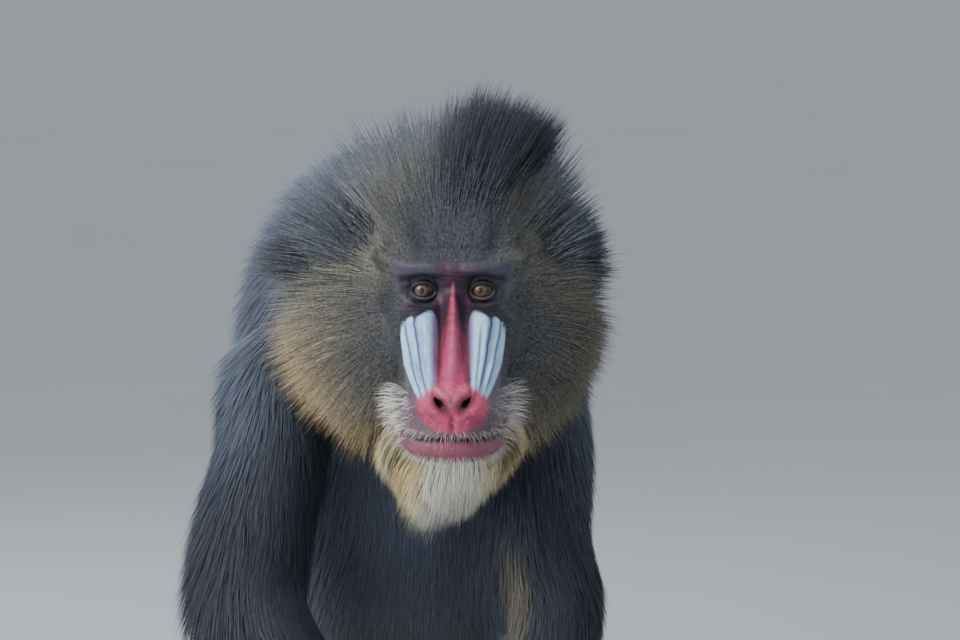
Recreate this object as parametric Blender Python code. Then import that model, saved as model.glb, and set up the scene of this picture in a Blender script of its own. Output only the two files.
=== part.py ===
# A life-size model of an adult male mandrill, seated on the floor with its hands and feet set down
# in front of it and its head turned a little to its own right.
# Metres, +Z up. The animal faces -Y and its left side is at +X. The floor is z = 0.

import math

import bmesh
import bpy
import numpy as np
from mathutils import Matrix, Vector
from mathutils.bvhtree import BVHTree

# Driving sizes of the whole animal
GAP = 0.0003            # clearance that touching nodes keep
TWIN = 0.00035          # how much thicker the copy is that cuts that clearance
FLAT_ANGLES = (2.6, 2.6, 2.6, 2.0, 1.7, 1.4, 0.9)     # degrees under which neighbouring faces are merged
SLIVER = 0.00010        # edges shorter than this are closed up where merging spoils the surface
EYE_LINE = Vector((-0.012, -0.205, 0.520))   # midpoint between the eyes
HEAD_TURN = math.radians(-12)                # the head looks to the animal's right

# Sizes of the head, in its own frame: x to the animal's left, y backwards from the eyes, z up
EYE_SPACING = 0.047
EYE_RADIUS = 0.0115
EYE_DEPTH = 0.0125      # from the eye line back to the eyeball's centre
LID = 0.0028            # thickness of the lids over the eyeball
FOCUS_Y = 0.090         # the cross-sections of the face all drop back towards this line
FOCUS_Z = -0.050
MOUTH_Y = -0.0825       # the mouth line at the front of the lips
MOUTH_Z = -0.1155
MOUTH_RISE = math.radians(8)                 # how steeply the mouth line climbs backwards

CRANIUM = {"centre": (0.0, 0.062, 0.004), "radii": (0.062, 0.064, 0.054)}
CHEEKS = {"centre": (0.0, 0.060, -0.038), "radii": (0.096, 0.050, 0.084)}

# Midline of the face from the forehead to the throat: y, z, half width, depth of the cross-section
FACE_LINE = (
    (0.046, 0.048, 0.036, 0.022),
    (0.020, 0.041, 0.044, 0.026),
    (0.003, 0.029, 0.048, 0.028),
    (-0.006, 0.019, 0.050, 0.029),
    (-0.004, 0.008, 0.050, 0.030),
    (-0.003, 0.000, 0.048, 0.031),
    (-0.015, -0.013, 0.043, 0.040),
    (-0.040, -0.033, 0.041, 0.066),
    (-0.065, -0.052, 0.039, 0.092),
    (-0.083, -0.063, 0.039, 0.106),
    (-0.094, -0.075, 0.040, 0.114),
    (-0.094, -0.090, 0.041, 0.114),
    (-0.090, -0.104, 0.042, 0.112),
    (-0.086, -0.112, 0.043, 0.108),
    (-0.081, -0.1155, 0.0435, 0.104),
    (-0.082, -0.122, 0.043, 0.102),
    (-0.074, -0.134, 0.041, 0.100),
    (-0.056, -0.143, 0.036, 0.090),
    (-0.026, -0.143, 0.034, 0.072),
    (0.010, -0.132, 0.032, 0.045),
)
FACE_ROWS = 30
FACE_COLUMNS = 19
FACE_SQUARENESS = 2.5

# Trunk from the rump to the head: y, z, half width, half depth
TRUNK = (
    (0.160, 0.098, 0.106, 0.104),
    (0.158, 0.180, 0.114, 0.114),
    (0.148, 0.270, 0.112, 0.112),
    (0.126, 0.376, 0.122, 0.116),
    (0.086, 0.474, 0.130, 0.116),
    (0.030, 0.532, 0.114, 0.104),
    (-0.028, 0.536, 0.088, 0.088),
    (-0.080, 0.514, 0.062, 0.074),
    (-0.115, 0.504, 0.046, 0.062),
)
BUTTOCK = {"centre": (0.058, 0.182, 0.064), "radii": (0.066, 0.072, 0.068)}
# Arm from the shoulder to the wrist: x on the left side, x on the right side, y, z, half sizes
ARM = (
    (0.054, 0.062, 0.078, 0.456, 0.056, 0.060),
    (0.088, 0.100, 0.054, 0.434, 0.060, 0.068),
    (0.100, 0.124, 0.012, 0.375, 0.056, 0.065),
    (0.098, 0.142, -0.028, 0.305, 0.050, 0.058),
    (0.106, 0.150, -0.056, 0.248, 0.045, 0.051),
    (0.095, 0.124, -0.098, 0.185, 0.040, 0.044),
    (0.080, 0.100, -0.146, 0.118, 0.033, 0.036),
    (0.070, 0.088, -0.190, 0.062, 0.025, 0.026),
    (0.068, 0.085, -0.212, 0.034, 0.024, 0.023),
)
ELBOW = 4
WRIST = 7
# Leg from the hip to the ankle: x, y, z, half sizes
LEG = (
    (0.050, 0.165, 0.105, 0.070, 0.072),
    (0.106, 0.102, 0.122, 0.064, 0.073),
    (0.168, 0.032, 0.143, 0.053, 0.060),
    (0.214, -0.024, 0.160, 0.042, 0.046),
    (0.219, -0.044, 0.124, 0.037, 0.041),
    (0.210, -0.054, 0.082, 0.032, 0.036),
    (0.200, -0.062, 0.048, 0.027, 0.031),
    (0.198, -0.064, 0.028, 0.026, 0.030),
)
KNEE = 3
ANKLE = 6
LIMB_MARGIN = 0.012     # how far the surface that parts a limb from the trunk stands off the limb
FIRST_ARM = 1           # the station from which that surface starts, on the arm and on the leg
FIRST_LEG = 1
HIP_CUT = ((0, 0.158, 0.226), (0, -0.05, 1.0))
NECK_CUT = ((0, -0.056, 0.522), (0, -0.99, -0.14))
BODY_VOXEL = 0.008
BODY_TRIANGLES = 1800

# Hand and foot on one side, x from the limb's own line outwards, in the limb's heading
PALM = (
    (0.000, 0.020, 0.082, 0.026, 0.026),
    (0.000, 0.000, 0.058, 0.025, 0.024),
    (0.000, -0.020, 0.032, 0.026, 0.021),
    (0.000, -0.044, 0.0165, 0.0290, 0.0175),
    (0.000, -0.068, 0.0135, 0.0290, 0.0140),
)
FINGERS = (
    # x at the knuckle, y at the knuckle, heading in degrees outwards, length, half width
    (-0.0225, -0.064, -9, 0.040, 0.0078),
    (-0.0075, -0.069, -3, 0.047, 0.0080),
    (0.0078, -0.069, 4, 0.046, 0.0078),
    (0.0225, -0.063, 13, 0.038, 0.0072),
)
THUMB = (-0.0230, -0.034, -46, 0.032, 0.0076)
SOLE = (
    (0.000, 0.034, 0.0170, 0.0190, 0.0170),
    (0.000, 0.015, 0.0230, 0.0240, 0.0230),
    (0.000, -0.030, 0.0230, 0.0250, 0.0225),
    (0.000, -0.080, 0.0180, 0.0290, 0.0180),
    (0.000, -0.118, 0.0140, 0.0310, 0.0145),
)
TOES = (
    (-0.0150, -0.118, -6, 0.044, 0.0080),
    (0.0015, -0.121, 0, 0.046, 0.0080),
    (0.0170, -0.117, 8, 0.042, 0.0076),
    (0.0300, -0.106, 17, 0.036, 0.0070),
)
BIG_TOE = (-0.0210, -0.066, -38, 0.046, 0.0095)
ANKLE_STUB = (
    (0.000, 0.006, 0.066, 0.027, 0.031),
    (0.000, 0.006, 0.045, 0.0265, 0.0305),
    (0.000, 0.004, 0.022, 0.025, 0.028),
)

TAIL = (
    (0.000, 0.235, 0.150, 0.017, 0.017),
    (0.000, 0.275, 0.158, 0.017, 0.017),
    (0.002, 0.300, 0.180, 0.014, 0.014),
    (0.004, 0.308, 0.208, 0.010, 0.010),
)

COLOURS = {
    "coat_dark": (0.050, 0.052, 0.058, 0.85),
    "coat_olive": (0.150, 0.135, 0.085, 0.85),
    "coat_grey": (0.105, 0.108, 0.120, 0.85),
    "beard_yellow": (0.560, 0.430, 0.220, 0.80),
    "hand_skin": (0.060, 0.050, 0.052, 0.55),
    "ear_skin": (0.300, 0.210, 0.220, 0.50),
    "eye": (0.280, 0.130, 0.040, 0.10),
}

MATERIAL_OF = {
    "head": "coat_olive",
    "jaw": "beard_yellow",
    "eye": "eye",
    "ear": "ear_skin",
    "neck": "coat_olive",
    "torso": "coat_dark",
    "hips": "coat_dark",
    "tail": "coat_grey",
    "upper_arm": "coat_dark",
    "forearm": "coat_dark",
    "hand": "hand_skin",
    "thigh": "coat_grey",
    "shin": "coat_dark",
    "foot": "hand_skin",
}


def material(name):
    made = bpy.data.materials.get(name)
    if made is None:
        made = bpy.data.materials.new(name)
        made.use_nodes = True
        red, green, blue, roughness = COLOURS[name]
        shader = made.node_tree.nodes["Principled BSDF"]
        shader.inputs["Base Color"].default_value = (red, green, blue, 1.0)
        shader.inputs["Roughness"].default_value = roughness
        shader.inputs["Metallic"].default_value = 0.0
    return made


def add_object(name, mesh):
    made = bpy.data.objects.new(name, mesh)
    bpy.context.scene.collection.objects.link(made)
    return made


def mesh_object(name, points, faces):
    mesh = bpy.data.meshes.new(name)
    mesh.from_pydata([tuple(map(float, p)) for p in points], [], [tuple(map(int, f)) for f in faces])
    mesh.validate()
    mesh.update()
    return add_object(name, mesh)


def face_outwards(made):
    work = bmesh.new()
    work.from_mesh(made.data)
    bmesh.ops.recalc_face_normals(work, faces=work.faces)
    bmesh.ops.triangulate(work, faces=work.faces)
    work.to_mesh(made.data)
    work.free()
    made.data.update()
    return made


def curve_through(stations, count):
    """Catmull-Rom curve through the stations, sampled at count evenly spaced parameters."""
    stations = np.asarray(stations, float)
    before = 2 * stations[0] - stations[1]
    after = 2 * stations[-1] - stations[-2]
    padded = np.vstack([before, stations, after])
    where = np.linspace(0, len(stations) - 1, count)
    first = np.minimum(where.astype(int), len(stations) - 2)
    part = (where - first)[:, None]
    p0, p1, p2, p3 = (padded[first + k] for k in range(4))
    return 0.5 * (
        2 * p1
        + (p2 - p0) * part
        + (2 * p0 - 5 * p1 + 4 * p2 - p3) * part**2
        + (3 * p1 - p0 - 3 * p2 + p3) * part**3
    )


def ring_frames(path, side):
    """Lateral and depth directions across a path: lateral is as near to side as it can be."""
    tangent = np.gradient(path, axis=0)
    tangent /= np.linalg.norm(tangent, axis=1)[:, None]
    lateral = side - (tangent @ side)[:, None] * tangent
    lateral /= np.linalg.norm(lateral, axis=1)[:, None]
    return tangent, lateral, np.cross(tangent, lateral)


FULL_DOME = ((0.45, 0.89), (0.80, 0.60))      # how far out and how wide the rings of a rounded end are
PLAIN_DOME = ((0.62, 0.74),)


def tube(name, stations, side=(1.0, 0.0, 0.0), rings=12, sides=14, grow=0.0,
         start_dome=True, end_dome=True, dome_rings=FULL_DOME):
    """A closed tube of elliptic sections through stations of x, y, z, half width and half depth."""
    sampled = curve_through(stations, rings)
    path, half = sampled[:, :3], sampled[:, 3:5] + grow
    tangent, lateral, depth = ring_frames(path, np.array(side, float))
    rows = [(path[k], lateral[k], depth[k], half[k, 0], half[k, 1]) for k in range(rings)]

    def dome(k, sign):
        ahead = sign * tangent[k] * min(half[k])
        return [
            (path[k] + ahead * out, lateral[k], depth[k], half[k, 0] * size, half[k, 1] * size)
            for out, size in dome_rings
        ]

    if start_dome:
        rows = dome(0, -1)[::-1] + rows
    if end_dome:
        rows = rows + dome(rings - 1, 1)
    angle = np.arange(sides) * 2 * math.pi / sides
    points = [
        centre + math.cos(a) * wide * across + math.sin(a) * deep * down
        for centre, across, down, wide, deep in rows
        for a in angle
    ]
    count = len(rows)
    faces = [
        (r * sides + s, r * sides + (s + 1) % sides, (r + 1) * sides + (s + 1) % sides, (r + 1) * sides + s)
        for r in range(count - 1)
        for s in range(sides)
    ]
    for row, sign, domed, k in ((0, -1, start_dome, 0), (count - 1, 1, end_dome, rings - 1)):
        pole = len(points)
        reach = min(half[k]) if domed else 0.0
        points.append(path[k] + sign * tangent[k] * reach)
        faces += [(row * sides + s, row * sides + (s + 1) % sides, pole) for s in range(sides)]
    return face_outwards(mesh_object(name, points, faces))


def ball(name, centre, radii, segments=16, rings=10, grow=0.0):
    work = bmesh.new()
    bmesh.ops.create_uvsphere(work, u_segments=segments, v_segments=rings, radius=1.0)
    for vertex in work.verts:
        vertex.co = Vector(centre) + Vector(c * (r + grow) for c, r in zip(vertex.co, radii))
    bmesh.ops.triangulate(work, faces=work.faces)
    mesh = bpy.data.meshes.new(name)
    work.to_mesh(mesh)
    work.free()
    return add_object(name, mesh)


def replace_mesh(made, mesh):
    old = made.data
    made.modifiers.clear()
    made.data = mesh
    bpy.data.meshes.remove(old)


def combine(made, others, operation, solver="EXACT"):
    """Applies one Boolean of made with all of others, then removes them."""
    if not others:
        return made
    group = bpy.data.collections.new("operands")
    for other in others:
        group.objects.link(other)
    modifier = made.modifiers.new("combine", "BOOLEAN")
    modifier.operation = operation
    modifier.operand_type = "COLLECTION"
    modifier.collection = group
    modifier.solver = solver
    bpy.context.view_layer.update()
    graph = bpy.context.evaluated_depsgraph_get()
    replace_mesh(made, bpy.data.meshes.new_from_object(made.evaluated_get(graph)))
    for other in others:
        bpy.data.objects.remove(other)
    bpy.data.collections.remove(group)
    return made


def slice_off(made, point, normal):
    """Cuts away what lies on the far side of a plane, where normal points, and closes the cut."""
    work = bmesh.new()
    work.from_mesh(made.data)
    bmesh.ops.bisect_plane(
        work,
        geom=work.verts[:] + work.edges[:] + work.faces[:],
        dist=1e-7,
        plane_co=Vector(point),
        plane_no=Vector(normal),
        clear_outer=True,
    )
    rim = [edge for edge in work.edges if edge.is_boundary]
    bmesh.ops.contextual_create(work, geom=rim)
    bmesh.ops.triangulate(work, faces=work.faces)
    bmesh.ops.recalc_face_normals(work, faces=work.faces)
    work.to_mesh(made.data)
    work.free()
    made.data.update()
    return made


def close_slivers(work, spots):
    """Closes up the slivers at the given spots, as long as that leaves the surface closed."""
    trial = work.copy()
    near = [vertex for vertex in trial.verts if any((vertex.co - spot).length < SLIVER for spot in spots)]
    bmesh.ops.remove_doubles(trial, verts=near, dist=SLIVER)
    whole = all(edge.is_manifold for edge in trial.edges)
    (work if whole else trial).free()
    return trial if whole else work


def merge_flat_faces(work):
    """Merges faces that meet at a small angle, at the widest angle that leaves the surface closed."""
    for degrees in FLAT_ANGLES:
        trial = work.copy()
        angle = math.radians(degrees)
        bmesh.ops.dissolve_limit(trial, angle_limit=angle, verts=trial.verts, edges=trial.edges)
        bmesh.ops.triangulate(trial, faces=trial.faces)
        spots = [vertex.co.copy() for edge in trial.edges if not edge.is_manifold for vertex in edge.verts]
        if not spots:
            work.free()
            return trial
        trial.free()
        work = close_slivers(work, spots)
    return work


def keep_largest(made):
    """Keeps the largest closed surface of a mesh."""
    work = bmesh.new()
    work.from_mesh(made.data)
    bmesh.ops.remove_doubles(work, verts=work.verts, dist=2e-6)
    unseen = set(work.verts)
    islands = []
    while unseen:
        stack = [unseen.pop()]
        island = list(stack)
        while stack:
            for edge in stack.pop().link_edges:
                for vertex in edge.verts:
                    if vertex in unseen:
                        unseen.remove(vertex)
                        island.append(vertex)
                        stack.append(vertex)
        islands.append(island)

    def span(island):
        corners = np.array([v.co for v in island])
        return float(np.linalg.norm(corners.max(0) - corners.min(0)))

    islands.sort(key=span)
    bmesh.ops.delete(work, geom=[v for island in islands[:-1] for v in island], context="VERTS")
    work = merge_flat_faces(work)
    work.to_mesh(made.data)
    work.free()
    made.data.update()
    return made


def copy_of(made, name="copy"):
    return add_object(name, made.data.copy())


def swollen(made, by):
    """A copy with every point moved out along the surface."""
    thicker = copy_of(made, "swollen")
    normals = [v.normal.copy() for v in made.data.vertices]
    for vertex, normal in zip(thicker.data.vertices, normals):
        vertex.co += normal * by
    return thicker


def surface_of(*objects):
    """One search tree over the outer surfaces of several objects."""
    points, faces = [], []
    for made in objects:
        start = len(points)
        points += [tuple(v.co) for v in made.data.vertices]
        faces += [tuple(start + v for v in p.vertices) for p in made.data.polygons]
    return BVHTree.FromPolygons(points, faces)


LOCK_SPINE = (0.0, 0.28, 0.62, 1.0)
LOCK_RINGS = ((0.86, 0.9), (1.0, 1.0), (0.74, 0.75))     # share of the width and of the thickness


def lock(name, root, normal, leave, end, length, width, thickness, sink, grow=0.0):
    """A flat tapered lock. It leaves the surface at root in one direction and ends in another,
    its flat side turned to the surface, with its root sunk under it."""
    root, normal = Vector(root), Vector(normal).normalized()
    leave, end = Vector(leave).normalized(), Vector(end).normalized()
    foot = root - normal * sink - leave * sink * 0.5
    middle = root + leave * length * 0.5
    tip = middle + end * (length * 0.5 + grow)
    spine = [foot * (1 - s) ** 2 + middle * 2 * s * (1 - s) + tip * s**2 for s in LOCK_SPINE]
    across = (leave + end).cross(normal)
    if across.length < 1e-3:
        across = leave.orthogonal()
    across.normalize()
    points = []
    for k, (wide, thick) in enumerate(LOCK_RINGS):
        along = (spine[k + 1] - spine[max(k - 1, 0)]).normalized()
        out = across.cross(along).normalized()
        half_w = width * wide / 2 + grow
        half_t = thickness * thick / 2 + grow
        points += [
            spine[k] + across * half_w,
            spine[k] + out * half_t,
            spine[k] - across * half_w,
            spine[k] - out * half_t,
        ]
    points.append(spine[3])
    faces = [(0, 1, 2), (0, 2, 3)]
    for ring in (0, 4):
        for s in range(4):
            n = (s + 1) % 4
            faces += [(ring + s, ring + n, ring + 4 + n), (ring + s, ring + 4 + n, ring + 4 + s)]
    faces += [(8 + s, 8 + (s + 1) % 4, 12) for s in range(4)]
    return face_outwards(mesh_object(name, points, faces))


HEAD_FRAME = Matrix.Translation(EYE_LINE) @ Matrix.Rotation(HEAD_TURN, 4, "Z")


def into_world(*objects):
    for made in objects:
        made.data.transform(HEAD_FRAME)
    return objects


def face_sections(rows):
    """Midline points, half widths and depths of the face at evenly spaced rows."""
    return curve_through(FACE_LINE, rows).T


def face_relief(x, y, z):
    """How far the face stands out from its plain cross-sections, in metres."""
    wide = np.abs(x)
    orbit = np.exp(-((wide - EYE_SPACING / 2) ** 2 + (z - 0.0005) ** 2) / 0.0115**2)
    relief = -0.0105 * orbit
    down_nose = np.clip((0.004 - z) / 0.010, 0, 1) * np.clip((z + 0.062) / 0.014, 0, 1)
    relief -= 0.0045 * down_nose * np.exp(-((wide - 0.0105) / 0.0050) ** 2)
    swelling = np.clip((-0.010 - z) / 0.012, 0, 1) * np.clip((z + 0.074) / 0.016, 0, 1)
    relief += 0.0030 * swelling * np.exp(-((wide - 0.0290) / 0.0110) ** 2)
    wings = np.exp(-((wide - 0.0210) / 0.0110) ** 2 - ((z + 0.082) / 0.0110) ** 2)
    relief += 0.0060 * wings * (y < -0.02)
    over_mouth = (z - MOUTH_Z) * math.cos(MOUTH_RISE) - (y - MOUTH_Y) * math.sin(MOUTH_RISE)
    lips = np.exp(-((np.abs(over_mouth) - 0.0050) / 0.0034) ** 2) * np.clip((-0.020 - y) / 0.020, 0, 1)
    relief += 0.0024 * lips
    groove = np.exp(-((wide / 0.0032) ** 2)) * np.exp(-(((z + 0.100) / 0.0075) ** 2)) * (y < -0.05)
    relief -= 0.0020 * groove
    brow = np.exp(-((z - 0.018) / 0.007) ** 2) * np.clip((wide - 0.010) / 0.018, 0, 1)
    relief += 0.0035 * brow * (y < 0.03)
    return relief


def face_grid(rows, columns, grow=0.0):
    """Grid of points on the face in the head's frame: rows run down the midline, columns across."""
    y, z, half_width, depth = (v[:, None] for v in face_sections(rows))
    turn = np.linspace(-math.pi / 2, math.pi / 2, columns)[None, :]
    power = 2 / FACE_SQUARENESS
    x = half_width * np.sign(turn) * np.abs(np.sin(turn)) ** power
    drop = depth * (1 - np.abs(np.cos(turn)) ** power)
    back_y, back_z = FOCUS_Y - y, FOCUS_Z - z
    reach = np.hypot(back_y, back_z)
    back_y, back_z = back_y / reach, back_z / reach
    py, pz = y + back_y * drop, z + back_z * drop
    out = face_relief(x, py, pz) + grow
    side = np.sin(turn) ** 3
    return np.stack([x + out * side, py - back_y * out * np.cos(turn), pz - back_z * out * np.cos(turn)], -1)


def face_solid(name, grow=0.0):
    """The face closed behind by a fan to a point inside the cheeks."""
    grid = face_grid(FACE_ROWS, FACE_COLUMNS, grow)
    rows, columns = grid.shape[:2]
    points = list(grid.reshape(-1, 3))
    faces = [
        (r * columns + c, r * columns + c + 1, (r + 1) * columns + c + 1, (r + 1) * columns + c)
        for r in range(rows - 1)
        for c in range(columns - 1)
    ]
    rim = (
        [c for c in range(columns)]
        + [r * columns + columns - 1 for r in range(1, rows)]
        + [(rows - 1) * columns + c for c in range(columns - 2, -1, -1)]
        + [r * columns for r in range(rows - 2, 0, -1)]
    )
    pole = len(points)
    points.append(np.array([0.0, 0.050, -0.045]))
    faces += [(a, b, pole) for a, b in zip(rim, rim[1:] + rim[:1])]
    return face_outwards(mesh_object(name, points, faces))


def head_core(grow=0.0):
    """Cranium and the core of the cheek coat, as one closed piece in the head's frame."""
    cranium = ball("cranium", grow=grow, segments=12, rings=8, **CRANIUM)
    cheeks = ball("cheeks", grow=grow, segments=14, rings=9, **CHEEKS)
    return combine(cranium, [cheeks], "UNION")


def front_point(tree, x, z, lift=0.0):
    """The point of the face straight in front of x, z, moved out along the surface's normal."""
    hit, normal, _, _ = tree.ray_cast(Vector((x, -0.3, z)), Vector((0, 1, 0)))
    return hit + normal * lift


RIDGE_SECTIONS = ((0.0, 0.0012), (0.12, 0.0034), (0.45, 0.0046), (0.8, 0.0034), (1.0, 0.0014))
RIDGE_LIFT = 0.0006


def cheek_ridges(tree):
    """The long swollen ridges beside the nose, three on each side, fanned out from the nostril."""
    ridges = []
    for side in (-1, 1):
        for k in range(3):
            top_x, top_z = 0.0175 + 0.0072 * k, -0.0150 - 0.0050 * k
            low_x, low_z = 0.0160 + 0.0046 * k, -0.0730
            stations = []
            for s, half in RIDGE_SECTIONS:
                bulge = 0.0074 * (0.25 + 0.40 * k) * math.sin(math.pi * min(s * 1.15, 1.0)) ** 0.8
                x = top_x + (low_x - top_x) * s + bulge
                z = top_z + (low_z - top_z) * s
                point = front_point(tree, side * x, z, RIDGE_LIFT)
                stations.append((*point, half, half * 0.85))
            ridges.append(tube("ridge", stations, rings=6, sides=6, start_dome=False, end_dome=False))
    return ridges


NOSTRIL = {"x": 0.0096, "z": -0.0820, "half_long": 0.0072, "half_short": 0.0036, "slant": math.radians(52)}


def nostrils():
    """Two hollows in the front of the nose that slant down towards the middle."""
    made = []
    for side in (-1, 1):
        x, z = side * NOSTRIL["x"], NOSTRIL["z"]
        long_way = (side * math.cos(NOSTRIL["slant"]), 0.0, math.sin(NOSTRIL["slant"]))
        stations = [
            (x, y, z, NOSTRIL["half_long"] * size, NOSTRIL["half_short"] * size)
            for y, size in ((-0.108, 1.1), (-0.094, 1.0), (-0.084, 0.6))
        ]
        made.append(tube("nostril", stations, side=long_way, rings=4, sides=10, end_dome=False))
    return made


def eye_centre(side):
    return Vector((side * EYE_SPACING / 2, EYE_DEPTH, 0.0))


def lid_opening(side):
    """The almond through which the eyeball shows, as a cutter running forward."""
    half_long, half_high, count = 0.0108, 0.0068, 12
    centre = eye_centre(side)
    points, faces = [], []
    for y in (centre.y - 0.030, centre.y - 0.002):
        for k in range(count):
            turn = 2 * math.pi * k / count
            x = math.copysign(abs(math.cos(turn)) ** 0.9, math.cos(turn)) * half_long
            z = math.copysign(abs(math.sin(turn)) ** 1.15, math.sin(turn)) * half_high
            points.append((centre.x + x, y, z + 0.0002))
    faces = [(k, (k + 1) % count, count + (k + 1) % count, count + k) for k in range(count)]
    faces += [tuple(range(count)), tuple(range(count, 2 * count))]
    return face_outwards(mesh_object("opening", points, faces))


def eyeball(name, side, grow=0.0):
    return ball(name, eye_centre(side), (EYE_RADIUS,) * 3, segments=12, rings=8, grow=grow)


def mouth_plane(offset):
    """A point and the upward normal of the plane that parts the jaws."""
    normal = Vector((0, -math.sin(MOUTH_RISE), math.cos(MOUTH_RISE)))
    return Vector((0, MOUTH_Y, MOUTH_Z)) + normal * offset, normal


# Tiers of the ruff: how far back the roots lie, how many locks a side, between which angles,
# their length and width, and how much they lean back where they leave and where they end
RUFF = (
    {"y": 0.026, "count": 8, "turns": (50, -66), "size": (0.078, 0.034), "leave": 0.20, "end": 0.90},
    {"y": 0.051, "count": 8, "turns": (42, -72), "size": (0.090, 0.036), "leave": 0.50, "end": 1.20},
    {"y": 0.079, "count": 6, "turns": (2, -72), "size": (0.100, 0.038), "leave": 0.95, "end": 1.90},
)
RUFF_REACH = {-1: 1.28, 1: 0.86}        # the ruff spreads further over the right shoulder
# Rows of the crest: how far back, length, backward lean where the locks leave and where they end
CREST_ROWS = (
    (0.010, 0.066, 0.75, 0.30),
    (0.032, 0.100, 0.30, 0.38),
    (0.056, 0.116, 0.20, 0.55),
    (0.082, 0.110, 0.30, 0.95),
    (0.106, 0.096, 0.55, 1.60),
)
CREST_COLUMNS = ((-0.016, 0.008, 0.032), (-0.005, 0.021))
CREST_LEAN = 0.52       # how far the crest leans to the animal's left
# Rows of the crown: how far back, the angles over the side of the head, length, backward lean
CROWN = (
    {"y": 0.022, "turns": (64, 44, 26), "length": 0.068, "leave": 0.30, "end": 0.60},
    {"y": 0.052, "turns": (66, 46, 27), "length": 0.084, "leave": 0.35, "end": 0.70},
    {"y": 0.084, "turns": (58, 36), "length": 0.082, "leave": 0.70, "end": 1.60},
    {"y": 0.110, "turns": (72, 30), "length": 0.088, "leave": 1.30, "end": 2.20},
)
CROWN_REACH = {-1: 0.92, 1: 1.26}
CROWN_WIDTH = 0.034
LOCK_THICK = 0.0070
ROOT_DEPTH = 0.008      # how far under the surface the locks of the ruff and crown start


def head_locks(tree, draw, grow=0.0):
    """Ruff, crown and crest as overlapping flat locks in tiers, in the head's frame."""
    made = []
    centre = Vector(CHEEKS["centre"])
    for number, tier in enumerate(RUFF):
        for side in (-1, 1):
            first, last = tier["turns"]
            step = (last - first) / (tier["count"] - 1)
            for k in range(tier["count"]):
                turn = math.radians(first + step * (k + 0.5 * (number % 2)) + draw.uniform(-2.5, 2.5))
                radial = Vector((side * math.cos(turn), 0, math.sin(turn)))
                outside = Vector((0, tier["y"], centre.z)) + radial * 0.3
                root, _, _, _ = tree.ray_cast(outside, -radial)
                leave = radial + Vector((0, tier["leave"], 0.02))
                end = radial + Vector((0, tier["end"], -0.55 + draw.uniform(-0.12, 0.12)))
                length, width = tier["size"]
                length *= draw.uniform(0.90, 1.10) * RUFF_REACH[side]
                facing = Vector((0, -1, 0)) + radial * (0.35 + 0.5 * tier["leave"])
                foot = root - radial * ROOT_DEPTH
                made.append(lock("ruff", foot, facing, leave, end, length, width, LOCK_THICK, 0.005, grow))
    for row, (y, length, leave_back, end_back) in enumerate(CREST_ROWS):
        for x in CREST_COLUMNS[row % 2]:
            root, _, _, _ = tree.ray_cast(Vector((x, y, 0.3)), Vector((0, 0, -1)))
            flat = Vector((0.25 * x / 0.02, -0.9, 0.4))
            sideways = max(x, 0.0) * 9
            leave = Vector((0.10 + sideways, leave_back, 1.0))
            end = Vector((CREST_LEAN + sideways, end_back, 1.0))
            made.append(
                lock("crest", root - Vector((0, 0, 0.010)), flat, leave, end,
                     length * draw.uniform(0.93, 1.06) + 0.010, 0.030, 0.0075, 0.002, grow)
            )
    for row in CROWN:
        for side in (-1, 1):
            for degrees in row["turns"]:
                turn = math.radians(degrees + draw.uniform(-3, 3))
                radial = Vector((side * math.cos(turn), 0, math.sin(turn)))
                root, _, _, _ = tree.ray_cast(Vector((0, row["y"], 0.004)) + radial * 0.3, -radial)
                leave = radial + Vector((0, row["leave"], 0.05))
                end = radial + Vector((0, row["end"], 0.05))
                facing = radial * (0.4 + row["leave"]) + Vector((0, -1, 0))
                length = row["length"] * draw.uniform(0.92, 1.08) * CROWN_REACH[side]
                foot = root - radial * ROOT_DEPTH
                made.append(
                    lock("crown", foot, facing, leave, end, length, CROWN_WIDTH, LOCK_THICK, 0.005, grow)
                )
    return made


WHISKER = {"length": 0.032, "width": 0.016, "thick": 0.0045}


def whisker_locks(tree, draw, grow=0.0):
    """White tufts at the sides of the muzzle."""
    made = []
    for side in (-1, 1):
        for k in range(4):
            z = -0.072 - 0.0115 * k
            beside = Vector((side * 0.2, -0.030 - 0.003 * k, z))
            hit, normal, _, _ = tree.ray_cast(beside, Vector((-side, 0, 0)))
            leave = Vector((side * 0.7, 0.45, 0.20 - 0.10 * k))
            end = Vector((side * 0.75, 0.40, 0.05 - 0.22 * k))
            length = WHISKER["length"] * draw.uniform(0.9, 1.1)
            made.append(
                lock("whisker", hit, normal, leave, end, length, WHISKER["width"],
                     WHISKER["thick"], 0.005, grow)
            )
    return made


# Rows of the beard from the lip backwards: y, how many, half spread, length
BEARD = ((-0.068, 5, 0.026, 0.038), (-0.048, 4, 0.024, 0.050), (-0.024, 5, 0.028, 0.052))
BEARD_WIDTH = 0.022
BEARD_THICK = 0.0055


def beard_locks(tree, draw, grow=0.0):
    """The beard under the lower lip, in overlapping rows that hang down and taper to a point."""
    made = []
    for y, count, spread, length in BEARD:
        for k in range(count):
            share = k / (count - 1) * 2 - 1
            root, _, _, _ = tree.ray_cast(Vector((share * spread, y, -0.3)), Vector((0, 0, 1)))
            leave = Vector((share * 0.55, -0.35, -1.0))
            end = Vector((share * 0.10, 0.10, -1.0))
            reach = length * draw.uniform(0.88, 1.12) * (1.08 - 0.30 * abs(share))
            made.append(
                lock("beard", root, Vector((share * 0.8, -1, 0)), leave, end, reach,
                     BEARD_WIDTH, BEARD_THICK, 0.008, grow)
            )
    return made


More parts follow.
